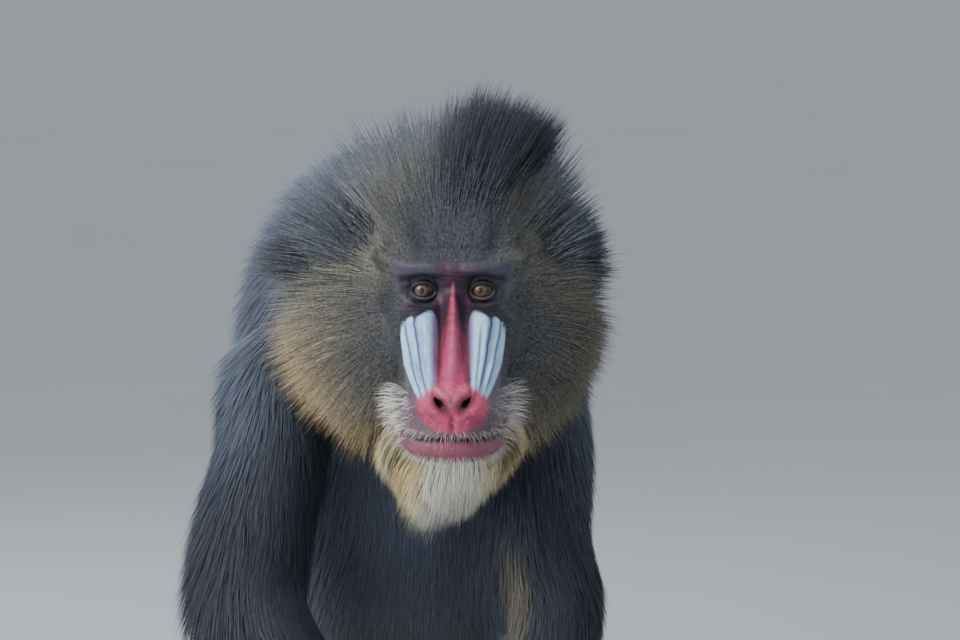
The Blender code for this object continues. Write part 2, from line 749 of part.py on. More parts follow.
def build_head():
    """Head, jaw, eyes and ears, made in the head's own frame."""
    draw = np.random.default_rng(11)
    core = head_core()
    face = face_solid("face")
    bulge = [ball("lid", eye_centre(s), (EYE_RADIUS + LID,) * 3, segments=14, rings=9) for s in (-1, 1)]
    face_tree = surface_of(face)
    point, up = mouth_plane(GAP / 2)
    jaw = copy_of(face, "jaw")
    slice_off(face, point, -up)
    slice_off(jaw, mouth_plane(-GAP / 2)[0], up)
    combine(jaw, [head_core(grow=TWIN)], "DIFFERENCE")
    keep_largest(jaw)
    combine(face, bulge, "UNION")
    combine(face, cheek_ridges(face_tree), "UNION")
    cutters = [eyeball("socket", s, grow=0.0004) for s in (-1, 1)] + [lid_opening(s) for s in (-1, 1)]
    head = combine(core, [face], "UNION")
    head.name = "head"
    head_tree = surface_of(head)
    keep_largest(combine(head, cutters + nostrils(), "DIFFERENCE"))
    state = draw.bit_generator.state
    pieces = head_locks(head_tree, draw) + whisker_locks(face_tree, draw)
    combine(head, pieces, "UNION", "MANIFOLD")
    keep_largest(head)
    combine(jaw, beard_locks(face_tree, draw), "UNION", "MANIFOLD")
    keep_largest(jaw)
    draw.bit_generator.state = state
    twin = head_core(grow=TWIN)
    pieces = head_locks(head_tree, draw, TWIN) + whisker_locks(face_tree, draw, TWIN)
    combine(twin, pieces, "UNION", "MANIFOLD")
    keep_largest(combine(jaw, [copy_of(twin)], "DIFFERENCE"))
    eyes = [eyeball("eye_left", 1), eyeball("eye_right", -1)]
    ears = [ear("ear_left", 1), ear("ear_right", -1)]
    keep_largest(combine(head, [ear_clearance(s) for s in (-1, 1)], "DIFFERENCE"))
    return head, jaw, eyes, ears, twin


EAR = {
    "x": 0.072,
    "y": 0.084,
    "z": 0.008,
    "half_high": 0.023,
    "half_wide": 0.015,
    "half_thick": 0.008,
    "wall": 0.0030,
}


def place_ear(made, side):
    tilt = Matrix.Rotation(math.radians(-38), 4, "Z") @ Matrix.Rotation(math.radians(12), 4, "Y")
    mirror = Matrix.Scale(side, 4, (1, 0, 0))
    out = Matrix.Translation((EAR["x"], EAR["y"], EAR["z"]))
    made.data.transform(mirror @ out @ tilt)
    return face_outwards(made)


def ear_shell(name, grow=0.0):
    radii = (EAR["half_thick"], EAR["half_wide"], EAR["half_high"])
    return ball(name, (0, 0, 0), radii, segments=10, rings=7, grow=grow)


def ear_clearance(side):
    return place_ear(ear_shell("clearance", TWIN), side)


def ear(name, side):
    """A rounded ear with a hollow cup, standing out from the side of the head."""
    outer = ear_shell(name)
    radii = (0.0068, EAR["half_wide"] - EAR["wall"], EAR["half_high"] - EAR["wall"])
    inner = ball("cup", (0.0042, -0.002, 0.001), radii, segments=10, rings=7)
    combine(outer, [inner], "DIFFERENCE")
    keep_largest(outer)
    return place_ear(outer, side)


def arm_stations(side, first=0):
    column = 0 if side > 0 else 1
    return [(side * row[column], *row[2:]) for row in ARM[first:]]


def leg_stations(side, first=0):
    return [(side * row[0], *row[1:]) for row in LEG[first:]]


def trunk_stations():
    return [(0.0, y, z, wide, deep) for y, z, wide, deep in TRUNK]


def arm_region(side, grow):
    stations = arm_stations(side, FIRST_ARM)
    return tube("arm_region", stations, rings=7, sides=12, grow=LIMB_MARGIN + grow, start_dome=False)


def leg_region(side, grow):
    stations = leg_stations(side, FIRST_LEG)
    return tube("leg_region", stations, rings=6, sides=12, grow=LIMB_MARGIN + grow)


def join(made, others):
    """Puts the meshes of others into made without changing them."""
    work = bmesh.new()
    for each in [made, *others]:
        work.from_mesh(each.data)
    work.to_mesh(made.data)
    work.free()
    for other in others:
        bpy.data.objects.remove(other)
    return made


def apply_modifiers(made):
    bpy.context.view_layer.update()
    graph = bpy.context.evaluated_depsgraph_get()
    replace_mesh(made, bpy.data.meshes.new_from_object(made.evaluated_get(graph)))
    return made


def whole_body():
    """Trunk, arms and legs grown together into one smooth closed skin."""
    body = tube("body", trunk_stations(), rings=21, sides=28)
    x, y, z = BUTTOCK["centre"]
    buttocks = [ball("buttock", (s * x, y, z), BUTTOCK["radii"], segments=20, rings=14) for s in (-1, 1)]
    limbs = [tube("limb", arm_stations(s), rings=19, sides=18) for s in (-1, 1)]
    limbs += [tube("limb", leg_stations(s), rings=17, sides=18) for s in (-1, 1)]
    join(body, limbs + buttocks)
    remesh = body.modifiers.new("remesh", "REMESH")
    remesh.mode = "VOXEL"
    remesh.voxel_size = BODY_VOXEL
    smooth = body.modifiers.new("smooth", "SMOOTH")
    smooth.factor = 0.5
    smooth.iterations = 6
    apply_modifiers(body)
    triangles = sum(len(p.vertices) - 2 for p in body.data.polygons)
    decimate = body.modifiers.new("decimate", "DECIMATE")
    decimate.ratio = BODY_TRIANGLES / triangles
    return face_outwards(apply_modifiers(body))


def split(made, point, normal, ahead, behind):
    """Parts a piece at a plane with the clearance between the two halves."""
    far = copy_of(made, ahead)
    made.name = behind
    normal = Vector(normal).normalized()
    slice_off(made, Vector(point) - normal * GAP / 2, normal)
    slice_off(far, Vector(point) + normal * GAP / 2, -normal)
    return keep_largest(made), keep_largest(far)


def station_plane(stations, index):
    """The plane across a limb at one of its stations."""
    here = Vector(stations[index][:3])
    return here, (Vector(stations[index + 1][:3]) - Vector(stations[index - 1][:3])).normalized()


def side_name(side):
    return "left" if side > 0 else "right"


def digit(base, heading, length, half_width, height):
    """A finger or toe that leaves its knuckle, arches a little and comes down on the floor."""
    turn = math.radians(heading)
    ahead = np.array([math.sin(turn), -math.cos(turn), 0.0])
    start = np.array([base[0], base[1], height])
    steps = ((-0.25, 0.0, 1.0), (0.12, 0.0010, 1.0), (0.55, -0.0010, 0.95), (0.92, -0.0052, 0.72))
    stations = [
        (*(start + ahead * length * s + np.array([0, 0, up])), half_width * size, half_width * size * 0.95)
        for s, up, size in steps
    ]
    return tube("digit", stations, rings=4, sides=6, start_dome=False, dome_rings=PLAIN_DOME)


def extremity(name, side, origin, pad, digits, inner, height, extra=()):
    """A hand or foot with its digits, mirrored to its side and set at the end of its limb."""
    made = tube(name, pad, rings=5, sides=10, dome_rings=PLAIN_DOME)
    parts = [
        digit((x, y), heading, length, half, height)
        for x, y, heading, length, half in (*digits, inner)
    ]
    parts += [
        tube("stub", stations, rings=3, sides=10, start_dome=False, end_dome=False)
        for stations in extra
    ]
    combine(made, parts, "UNION")
    made.data.transform(Matrix.Translation(origin) @ Matrix.Scale(side, 4, (1, 0, 0)))
    face_outwards(made)
    slice_off(made, (0, 0, 0), (0, 0, -1))
    return keep_largest(made)


def build_body():
    """All nodes of the trunk and limbs."""
    nodes = {}
    body = whole_body()
    slice_off(body, (0, 0, 0), (0, 0, -1))
    trunk = copy_of(body, "trunk")
    regions = [arm_region(s, GAP) for s in (-1, 1)] + [leg_region(s, GAP) for s in (-1, 1)]
    keep_largest(combine(trunk, regions, "DIFFERENCE"))
    for side in (-1, 1):
        tag = side_name(side)
        arm = combine(copy_of(body), [arm_region(side, 0.0)], "INTERSECT")
        combine(arm, [leg_region(side, GAP)], "DIFFERENCE")
        stations = arm_stations(side)
        upper, lower = split(arm, *station_plane(stations, ELBOW), "forearm_" + tag, "upper_arm_" + tag)
        point, normal = station_plane(stations, WRIST)
        slice_off(lower, point - normal * GAP / 2, normal)
        keep_largest(lower)
        origin = Vector((point.x, point.y, 0))
        hand = extremity("hand_" + tag, side, origin, PALM, FINGERS, THUMB, 0.0085)
        slice_off(hand, point + normal * GAP / 2, -normal)
        keep_largest(hand)
        leg = combine(copy_of(body), [leg_region(side, 0.0)], "INTERSECT")
        stations = leg_stations(side)
        thigh, shin = split(leg, *station_plane(stations, KNEE), "shin_" + tag, "thigh_" + tag)
        point, normal = station_plane(stations, ANKLE)
        slice_off(shin, point - normal * GAP / 2, normal)
        keep_largest(shin)
        origin = Vector((point.x, point.y, 0))
        foot = extremity("foot_" + tag, side, origin, SOLE, TOES, BIG_TOE, 0.0090, (ANKLE_STUB,))
        slice_off(foot, point + normal * GAP / 2, -normal)
        keep_largest(foot)
        for made in (upper, lower, hand, thigh, shin, foot):
            nodes[made.name] = made
    bpy.data.objects.remove(body)
    hips, rest = split(trunk, *HIP_CUT, "torso", "hips")
    torso, neck = split(rest, *NECK_CUT, "neck", "torso")
    tail = tube("tail", TAIL, rings=5, sides=10)
    keep_largest(combine(hips, [tube("twin", TAIL, rings=5, sides=10, grow=TWIN)], "DIFFERENCE"))
    for made in (hips, torso, neck, tail):
        nodes[made.name] = made
    return nodes


MANTLE_ROWS = 7
MANTLE_FIRST = 0.80     # share of the trunk's length where the first row of the mantle starts
MANTLE_STEP = 0.077
MANTLE_LENGTH = 0.106
MANTLE_WIDTH = 0.052
MANTLE_THICK = 0.0085
MANTLE_SPREAD = 105     # how far round from the middle of the back, in degrees


def mantle_locks(tree, draw):
    """Long coat over the shoulders and back, in staggered rows that overlap down the body."""
    made = []
    path = [Vector(point[:3]) for point in curve_through(trunk_stations(), 200)]
    for row in range(MANTLE_ROWS):
        at = int((MANTLE_FIRST - MANTLE_STEP * row) * 199)
        tailwards = (path[at - 6] - path[at]).normalized()
        up = Vector((0, -tailwards.z, tailwards.y)).normalized()
        if up.y + up.z < 0:
            up = -up
        count = 8 - row % 2
        for k in range(count):
            turn = math.radians(MANTLE_SPREAD * (2 * k / (count - 1) - 1) * (1 if count == 8 else 0.88))
            radial = up * math.cos(turn) + Vector((1, 0, 0)) * math.sin(turn)
            hit, normal, _, _ = tree.ray_cast(path[at] + radial * 0.4, -radial)
            if hit is None:
                continue
            leave = tailwards + normal * 0.55
            end = tailwards + normal * 0.06 + Vector((0, 0, -0.45))
            made.append(
                lock("mantle", hit, normal, leave, end, MANTLE_LENGTH * draw.uniform(0.9, 1.1),
                     MANTLE_WIDTH, MANTLE_THICK, 0.012)
            )
    return made


def settle(objects):
    """Brings the middle of the whole model's footprint to the origin."""
    corners = np.array([v.co for made in objects for v in made.data.vertices])
    middle = (corners.min(0) + corners.max(0)) / 2
    shift = Matrix.Translation((-middle[0], -middle[1], 0))
    for made in objects:
        made.data.transform(shift)


def main():
    for existing in list(bpy.data.objects):
        bpy.data.objects.remove(existing)
    head, jaw, eyes, ears, twins = build_head()
    into_world(head, jaw, *eyes, *ears, twins)
    nodes = build_body()
    draw = np.random.default_rng(23)
    torso = nodes["torso"]
    mantle = mantle_locks(surface_of(torso), draw)
    combine(torso, mantle, "UNION", "MANIFOLD")
    neighbours = [nodes["neck"], nodes["hips"], nodes["upper_arm_left"], nodes["upper_arm_right"]]
    for made in (torso, *neighbours):
        keep_largest(combine(made, [copy_of(twins)], "DIFFERENCE"))
    bpy.data.objects.remove(twins)
    keep_largest(combine(torso, [swollen(made, TWIN) for made in neighbours], "DIFFERENCE"))
    everything = [head, jaw, *eyes, *ears, *nodes.values()]
    settle(everything)
    for made in everything:
        name = MATERIAL_OF.get(made.name.rsplit("_", 1)[0]) or MATERIAL_OF[made.name]
        made.data.materials.clear()
        made.data.materials.append(material(name))
        made.data.shade_smooth()


main()
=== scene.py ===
import math
import time

import bmesh
import bpy
import numpy as np
from mathutils import Matrix, Vector


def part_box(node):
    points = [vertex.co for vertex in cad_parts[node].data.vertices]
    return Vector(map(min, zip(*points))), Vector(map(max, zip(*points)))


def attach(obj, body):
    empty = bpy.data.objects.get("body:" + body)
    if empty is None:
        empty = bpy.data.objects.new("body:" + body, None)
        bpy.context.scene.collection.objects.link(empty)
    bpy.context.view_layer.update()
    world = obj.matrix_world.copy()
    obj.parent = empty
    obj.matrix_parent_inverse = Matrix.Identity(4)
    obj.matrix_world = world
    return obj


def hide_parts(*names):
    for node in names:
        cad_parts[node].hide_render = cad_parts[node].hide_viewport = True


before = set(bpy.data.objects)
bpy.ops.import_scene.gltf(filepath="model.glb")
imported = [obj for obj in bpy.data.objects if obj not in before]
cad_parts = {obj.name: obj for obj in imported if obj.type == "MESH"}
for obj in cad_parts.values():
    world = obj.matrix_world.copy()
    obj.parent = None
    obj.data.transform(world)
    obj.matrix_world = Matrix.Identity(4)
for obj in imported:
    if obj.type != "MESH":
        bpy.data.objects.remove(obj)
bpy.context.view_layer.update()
startTime = time.time()


def report(stage):
    print("%6.1f s  %s" % (time.time() - startTime, stage))


def byDetail(full):
    return full


# Placing: the head has its own frame, x to the animal's left, y backwards from the eyes, z up.
placing = {
    "eyeLine": np.array([-0.012, -0.205, 0.520]),   # midpoint between the eyes before the model is centred
    "headTurn": math.radians(-12),
    "eyeSpacing": 0.047,
    "eyeDepth": 0.0125,
    "eyeRadius": 0.0115,
}


def turnZ(points, angle):
    # x and y turned about the upright axis
    c, s = math.cos(angle), math.sin(angle)
    x, y, z = points[..., 0], points[..., 1], points[..., 2]
    return np.stack([c * x - s * y, s * x + c * y, z], -1)


def eyeMiddle(node):
    # half the sum of the node's box corners
    low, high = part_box(node)
    return (np.array(low) + np.array(high)) / 2


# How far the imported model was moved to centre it, read from where its eyes are.
modelShift = (eyeMiddle("eye_left") + eyeMiddle("eye_right")) / 2 - (
    placing["eyeLine"] + turnZ(np.array([0.0, placing["eyeDepth"], 0.0]), placing["headTurn"])
)
modelShift[2] = 0.0
headOrigin = placing["eyeLine"] + modelShift


def eyePlace(side):
    # an eyeball's middle in the head's frame; side is 1 on the animal's left, -1 on its right
    return np.array([side * placing["eyeSpacing"] / 2, placing["eyeDepth"], 0.0])


def headToWorld(points):
    # turned by the head's turn, then moved to the midpoint between the eyes
    return turnZ(points, placing["headTurn"]) + headOrigin


def worldToHead(points):
    # the way back: moved first, then turned the other way
    return turnZ(points - headOrigin, -placing["headTurn"])


def unit(v):
    # vectors over their own length
    return v / np.maximum(np.linalg.norm(v, axis=-1, keepdims=True), 1e-9)


def step(low, high, value):
    # 0 below low, 1 above high, and a smooth 3t² - 2t³ between
    t = np.clip((value - low) / (high - low), 0, 1)
    return t * t * (3 - 2 * t)


def hill(value, centre, width):
    # a bell: e to the minus square of the distance over the width
    return np.exp(-(((value - centre) / width) ** 2))


def blend(base, over, amount):
    # base where the amount is 0, over where it is 1
    amount = np.asarray(amount)[..., None]
    return base * (1 - amount) + np.asarray(over) * amount


def softNoise(points, scale, seed):
    # value noise: random numbers on a lattice of that scale, blended smoothly between its corners, -1 to 1
    p = points / scale + seed * 17.31
    cell = np.floor(p).astype(np.int64)
    part = p - cell
    part = part * part * (3 - 2 * part)
    total = np.zeros(points.shape[:-1])
    for corner in range(8):
        off = np.array([corner & 1, corner >> 1 & 1, corner >> 2 & 1])
        c = cell + off
        mixed = (c[..., 0] * 73856093) ^ (c[..., 1] * 19349663) ^ (c[..., 2] * 83492791) ^ (seed * 2654435761)
        mixed = (mixed ^ (mixed >> 13)) * 1274126177 & 0xFFFFFFFF
        value = ((mixed ^ (mixed >> 16)) & 0xFFFF) / 32767.5 - 1
        share = np.ones(points.shape[:-1])
        for axis in range(3):
            share = share * (part[..., axis] if off[axis] else 1 - part[..., axis])
        total += value * share
    return total


# Meshes are kept as (points, faces) until they are put together; faces are lists of arrays of one side count.
def gridShape(grid, closedAcross=True, poles=True):
    # quads between neighbouring rows and columns of a grid of points; each end ring is closed by a fan of
    # triangles to its mean point
    rows, cols = grid.shape[:2]
    points = grid.reshape(-1, 3)
    r, c = np.meshgrid(np.arange(rows - 1), np.arange(cols if closedAcross else cols - 1), indexing="ij")
    n = (c + 1) % cols
    quads = np.stack([r * cols + c, r * cols + n, (r + 1) * cols + n, (r + 1) * cols + c], -1).reshape(-1, 4)
    faces = [quads]
    if poles:
        first, last = grid[0].mean(0), grid[-1].mean(0)
        points = np.vstack([points, first, last])
        c = np.arange(cols)
        n = (c + 1) % cols
        top = np.stack([n, c, np.full(cols, len(points) - 2)], -1)
        end = (rows - 1) * cols
        low = np.stack([end + c, end + n, np.full(cols, len(points) - 1)], -1)
        faces += [top, low]
    return points, faces


def objectFrom(name, points, faces, smooth=True):
    mesh = bpy.data.meshes.new(name)
    mesh.vertices.add(len(points))
    mesh.vertices.foreach_set("co", np.ascontiguousarray(points, np.float32).ravel())
    loops = np.concatenate([f.ravel() for f in faces]).astype(np.int32)
    sizes = np.concatenate([np.full(len(f), f.shape[1]) for f in faces])
    starts = np.concatenate([[0], np.cumsum(sizes)[:-1]]).astype(np.int32)
    mesh.loops.add(len(loops))
    mesh.loops.foreach_set("vertex_index", loops)
    mesh.polygons.add(len(sizes))
    mesh.polygons.foreach_set("loop_start", starts)
    mesh.polygons.foreach_set("use_smooth", np.full(len(sizes), smooth))
    mesh.update(calc_edges=True)
    made = bpy.data.objects.new(name, mesh)
    bpy.context.scene.collection.objects.link(made)
    return made


def pointsOf(made):
    found = np.empty(len(made.data.vertices) * 3, np.float32)
    made.data.vertices.foreach_get("co", found)
    return found.reshape(-1, 3).astype(float)


def normalsOf(made):
    found = np.empty(len(made.data.vertices) * 3, np.float32)
    made.data.vertex_normals.foreach_get("vector", found)
    return found.reshape(-1, 3).astype(float)


def setPoints(made, points):
    made.data.vertices.foreach_set("co", np.ascontiguousarray(points, np.float32).ravel())
    made.data.update()


def outwards(made):
    work = bmesh.new()
    work.from_mesh(made.data)
    bmesh.ops.recalc_face_normals(work, faces=work.faces)
    work.to_mesh(made.data)
    work.free()
    return made


def applied(made):
    # the mesh with its modifiers worked in
    bpy.context.view_layer.update()
    graph = bpy.context.evaluated_depsgraph_get()
    mesh = bpy.data.meshes.new_from_object(made.evaluated_get(graph))
    old = made.data
    made.modifiers.clear()
    made.data = mesh
    bpy.data.meshes.remove(old)
    return made


def joined(made, others):
    work = bmesh.new()
    for each in [made, *others]:
        work.from_mesh(each.data)
    work.to_mesh(made.data)
    work.free()
    for other in others:
        bpy.data.objects.remove(other)
    return made


def remeshed(made, voxel, smoothing):
    # grown together on a grid of cubes of that size, then evened out
    remesh = made.modifiers.new("remesh", "REMESH")
    remesh.mode = "VOXEL"
    remesh.voxel_size = voxel
    smooth = made.modifiers.new("smooth", "SMOOTH")
    smooth.factor = 0.5
    smooth.iterations = smoothing
    return applied(made)


def fused(made, others, operation="UNION"):
    # one closed surface of all of them, or the first with the others cut out
    group = bpy.data.collections.new("fusing")
    for other in others:
        group.objects.link(other)
    change = made.modifiers.new("fuse", "BOOLEAN")
    change.operation = operation
    change.operand_type = "COLLECTION"
    change.collection = group
    change.solver = "MANIFOLD"
    applied(made)
    for other in others:
        bpy.data.objects.remove(other)
    bpy.data.collections.remove(group)
    return made


def curveThrough(stations, count):
    # Catmull-Rom curve: between stations p1 and p2 a cubic in t whose slopes are (p2-p0)/2 and (p3-p1)/2
    stations = np.asarray(stations, float)
    padded = np.vstack([2 * stations[0] - stations[1], stations, 2 * stations[-1] - stations[-2]])
    where = np.linspace(0, len(stations) - 1, count)
    first = np.minimum(where.astype(int), len(stations) - 2)
    part = (where - first)[:, None]
    p0, p1, p2, p3 = (padded[first + k] for k in range(4))
    return 0.5 * (
        2 * p1
        + (p2 - p0) * part
        + (2 * p0 - 5 * p1 + 4 * p2 - p3) * part**2
        + (3 * p1 - p0 - 3 * p2 + p3) * part**3
    )


def tubeGrid(stations, rings, sides):
    # ellipses (cos, sin) of the stations' half sizes, square to the curve through them, with a dome at each end
    # whose rings shrink with the sine while they move out with the cosine
    sampled = curveThrough(stations, rings)
    path, half = sampled[:, :3], sampled[:, 3:5]
    tangent = unit(np.gradient(path, axis=0))
    side = np.array([1.0, 0.0, 0.0])
    lateral = unit(side - (tangent @ side)[:, None] * tangent)
    depth = np.cross(tangent, lateral)
    turn = np.linspace(0, math.pi / 2, 7)[1:-1]
    out, size = np.cos(turn)[:, None], np.sin(turn)[:, None]
    first, last = (
        (
            path[end] + sign * tangent[end] * min(half[end]) * out,
            half[end] * size,
            np.repeat(lateral[end][None], len(out), 0),
            np.repeat(depth[end][None], len(out), 0),
        )
        for end, sign in ((0, -1), (-1, 1))
    )
    path, half, lateral, depth = (
        np.vstack([before, kept, after[::-1]])
        for before, kept, after in zip(first, (path, half, lateral, depth), last)
    )
    angle = np.arange(sides) * 2 * math.pi / sides
    across = np.cos(angle)[None, :, None] * half[:, 0][:, None, None] * lateral[:, None, :]
    down = np.sin(angle)[None, :, None] * half[:, 1][:, None, None] * depth[:, None, :]
    return path[:, None, :] + across + down


def tubeObject(name, stations, rings, sides):
    return outwards(objectFrom(name, *gridShape(tubeGrid(stations, rings, sides))))


def ballGrid(centre, radii, rows, cols):
    # ellipsoid: sine of the polar angle times the cosine and sine of the turn, and its cosine, times the radii
    low = np.linspace(0, math.pi, rows + 2)[1:-1][:, None]
    turn = (np.arange(cols) * 2 * math.pi / cols)[None, :]
    ball = np.stack([np.sin(low) * np.cos(turn), np.sin(low) * np.sin(turn), np.cos(low) + 0 * turn], -1)
    return np.array(centre) + ball * np.array(radii)


def ballObject(name, centre, radii):
    return outwards(objectFrom(name, *gridShape(ballGrid(centre, radii, 24, 32))))


report("frame loaded")

# The body under the coat
body = {
    "trunk": (   # from the rump to the head: y, z, half width, half depth
        (0.160, 0.098, 0.106, 0.104), (0.158, 0.180, 0.114, 0.114), (0.148, 0.270, 0.112, 0.112),
        (0.126, 0.376, 0.122, 0.116), (0.086, 0.474, 0.130, 0.116), (0.030, 0.532, 0.114, 0.104),
        (-0.028, 0.536, 0.088, 0.088), (-0.080, 0.514, 0.062, 0.074), (-0.115, 0.504, 0.046, 0.062),
    ),
    "trunkDepth": (0.004, 0.007, 0.010, 0.011, 0.011, 0.011, 0.010, 0.008, 0.007),   # coat's depth at each
    "arm": (     # from the shoulder to the wrist: x on the left, x on the right, y, z, half sizes
        (0.054, 0.062, 0.078, 0.456, 0.056, 0.060), (0.088, 0.100, 0.054, 0.434, 0.060, 0.068),
        (0.100, 0.120, 0.012, 0.375, 0.056, 0.065), (0.098, 0.142, -0.028, 0.305, 0.050, 0.058),
        (0.106, 0.150, -0.056, 0.248, 0.045, 0.051), (0.095, 0.124, -0.098, 0.185, 0.040, 0.044),
        (0.080, 0.100, -0.146, 0.118, 0.033, 0.036), (0.070, 0.088, -0.190, 0.062, 0.025, 0.026),
        (0.068, 0.085, -0.212, 0.034, 0.024, 0.023),
    ),
    "armDepth": (0.010, 0.010, 0.009, 0.009, 0.008, 0.008, 0.006, 0.004, 0.005),
    "rightArmDepth": (0.014, 0.016, 0.013, 0.006, 0.001, 0.002, 0.004, 0.004, 0.005),
    "leg": (     # from the hip to the ankle: x, y, z, half sizes
        (0.050, 0.165, 0.105, 0.070, 0.072), (0.106, 0.102, 0.122, 0.064, 0.073),
        (0.168, 0.032, 0.143, 0.053, 0.060), (0.214, -0.024, 0.160, 0.042, 0.046),
        (0.219, -0.044, 0.124, 0.037, 0.041), (0.210, -0.054, 0.082, 0.032, 0.036),
        (0.200, -0.062, 0.048, 0.027, 0.031), (0.198, -0.064, 0.028, 0.026, 0.030),
    ),
    "legDepth": (0.009, 0.010, 0.012, 0.013, 0.008, 0.005, 0.003, 0.003),
    "buttock": ((0.058, 0.182, 0.064), (0.064, 0.069, 0.065)),
    "tail": ((0, 0.225, 0.148, 0.012, 0.012), (0, 0.275, 0.158, 0.012, 0.012),
             (0.002, 0.300, 0.180, 0.009, 0.009), (0.004, 0.306, 0.204, 0.006, 0.006)),
    "cranium": ((0, 0.062, 0.004), (0.054, 0.058, 0.047)),     # in the head's frame
    "cheeks": ((0, 0.060, -0.038), (0.080, 0.044, 0.072)),
    "voxel": 0.0074,
    "quickVoxel": 0.009,
    "smoothing": 7,
}


def thinner(rows, depths):
    # stations x, y, z and half sizes, with the coat's depth taken off the sizes
    return [(*row[:3], row[3] - depth, row[4] - depth) for row, depth in zip(rows, depths)]


def trunkStations():
    # the trunk's rows in the middle plane, x 0
    return thinner([(0.0, *row) for row in body["trunk"]], body["trunkDepth"])


def armX(row, side):
    # the row's place out from the middle: the two arms are set down unevenly
    return side * (row[0] if side > 0 else row[1])


def armStations(side):
    depths = body["armDepth"] if side > 0 else body["rightArmDepth"]
    return thinner([(armX(row, side), *row[2:]) for row in body["arm"]], depths)


def legStations(side):
    return thinner([(side * row[0], *row[1:]) for row in body["leg"]], body["legDepth"])


def moved(made, change):
    # every point replaced by change(point)
    setPoints(made, change(pointsOf(made)))
    return made


def bodySkin():
    # tubes and balls of trunk, limbs, tail and skull, melted together by a voxel remesh
    made = tubeObject("skin", trunkStations(), rings=40, sides=48)
    (x, y, z), radii = body["buttock"]
    parts = [ballObject("buttock", (s * x, y, z), radii) for s in (-1, 1)]
    parts += [tubeObject("arm", armStations(s), rings=40, sides=28) for s in (-1, 1)]
    parts += [tubeObject("leg", legStations(s), rings=36, sides=28) for s in (-1, 1)]
    parts.append(tubeObject("tail", body["tail"], rings=16, sides=20))
    for part in [made, *parts]:
        moved(part, lambda p: p + modelShift)
    for name in ("cranium", "cheeks"):
        parts.append(moved(ballObject(name, *body[name]), headToWorld))
    joined(made, parts)
    return remeshed(made, byDetail(body["voxel"]), body["smoothing"])


# Hands and feet: x outwards from the limb's line, y along its heading, z up, half sizes
hand = {
    "pad": ((0, 0.024, 0.088, 0.018, 0.018), (0, 0.000, 0.058, 0.021, 0.020), (0, -0.020, 0.032, 0.024, 0.019),
            (0, -0.044, 0.0165, 0.0290, 0.0172), (0, -0.068, 0.0135, 0.0288, 0.0138)),
    "digits": ((-0.0225, -0.064, -9, 0.040, 0.0076), (-0.0075, -0.069, -3, 0.047, 0.0078),
               (0.0078, -0.069, 4, 0.046, 0.0076), (0.0225, -0.063, 13, 0.038, 0.0070),
               (-0.0230, -0.034, -46, 0.032, 0.0074)),
    "height": 0.0085,
}
foot = {
    "pad": ((0, 0.034, 0.0170, 0.0190, 0.0170), (0, 0.015, 0.0230, 0.0240, 0.0230),
            (0, -0.030, 0.0230, 0.0250, 0.0225), (0, -0.080, 0.0180, 0.0290, 0.0180),
            (0, -0.118, 0.0140, 0.0310, 0.0145)),
    "stub": ((0, 0.006, 0.080, 0.022, 0.026), (0, 0.006, 0.045, 0.0235, 0.0275), (0, 0.004, 0.022, 0.024, 0.027)),
    "digits": ((-0.0150, -0.118, -6, 0.044, 0.0078), (0.0015, -0.121, 0, 0.046, 0.0078),
               (0.0170, -0.117, 8, 0.042, 0.0074), (0.0300, -0.106, 17, 0.036, 0.0068),
               (-0.0210, -0.066, -38, 0.046, 0.0093)),
    "height": 0.0090,
}
digits = {
    "steps": (   # share of its length, rise, share of its width
        (-0.25, 0.0, 1.0), (0.04, 0.0015, 1.04), (0.20, 0.0015, 0.94), (0.42, 0.0012, 1.03), (0.58, -0.0008, 0.90),
        (0.74, -0.0020, 0.95), (0.94, -0.0046, 0.74),
    ),
    "flatness": 0.95,
    "voxel": 0.0028,
    "quickVoxel": 0.004,
    "smoothing": 3,
    "creaseDepth": 0.0007,
    "creases": 330,         # radians of the creases' wave in a metre
    "nailPlace": 0.93,      # share of the digit's length
    "nailWidth": 0.56,      # share of the digit's half width
    "nailLength": 0.0066,   # half of it
}


def headings(row):
    # a digit's heading and the way across it, from the angle in its row
    turn = math.radians(row[2])
    return np.array([math.sin(turn), -math.cos(turn), 0.0]), np.array([math.cos(turn), math.sin(turn), 0.0])


def digitStations(row, height):
    # stations along the digit's heading, each with its share of the length, rise and width
    x, y, _, length, half = row
    ahead, _ = headings(row)
    start = np.array([x, y, height])
    return [
        (*(start + ahead * length * s + np.array([0, 0, up])), half * size, half * size * digits["flatness"])
        for s, up, size in digits["steps"]
    ]


def limbEnd(shape, side, origin):
    # pad and digits melted together, with creases: the size of a sine of the place along, pressed into the skin
    made = tubeObject("end", shape["pad"], rings=30, sides=30)
    parts = [tubeObject("digit", digitStations(row, shape["height"]), rings=26, sides=16) for row in shape["digits"]]
    if "stub" in shape:
        parts.append(tubeObject("stub", shape["stub"], rings=12, sides=24))
    joined(made, parts)
    remeshed(made, byDetail(digits["voxel"]), digits["smoothing"])
    points = pointsOf(made)
    y = points[:, 1]
    creases = digits["creaseDepth"] * np.abs(np.sin(y * digits["creases"])) * step(-0.050, -0.075, y)
    points -= normalsOf(made) * creases[:, None]
    points[:, 0] *= side
    setPoints(made, points + origin)
    return outwards(made)


def nail(row, height, side, origin):
    # a ball pressed into a curved plate: its top falls with the square of the place across, and at its back end
    x, y, _, length, half = row
    ahead, across = headings(row)
    grid = ballGrid((0, 0, 0), (1, 1, 1), 14, 20)
    u, v, w = grid[..., 0:1], grid[..., 1:2], grid[..., 2:3]
    where = np.array([x, y, height]) + ahead * length * digits["nailPlace"]
    grid = (
        where
        + across * u * half * digits["nailWidth"]
        + ahead * v * digits["nailLength"]
        + np.array([0, 0, 1]) * (half * (0.46 - 0.30 * u * u - 0.46 * step(-0.7, 1.0, v)) - 0.0030 + w * 0.0009)
    )
    grid[..., 0] *= side
    return gridShape(grid + origin)


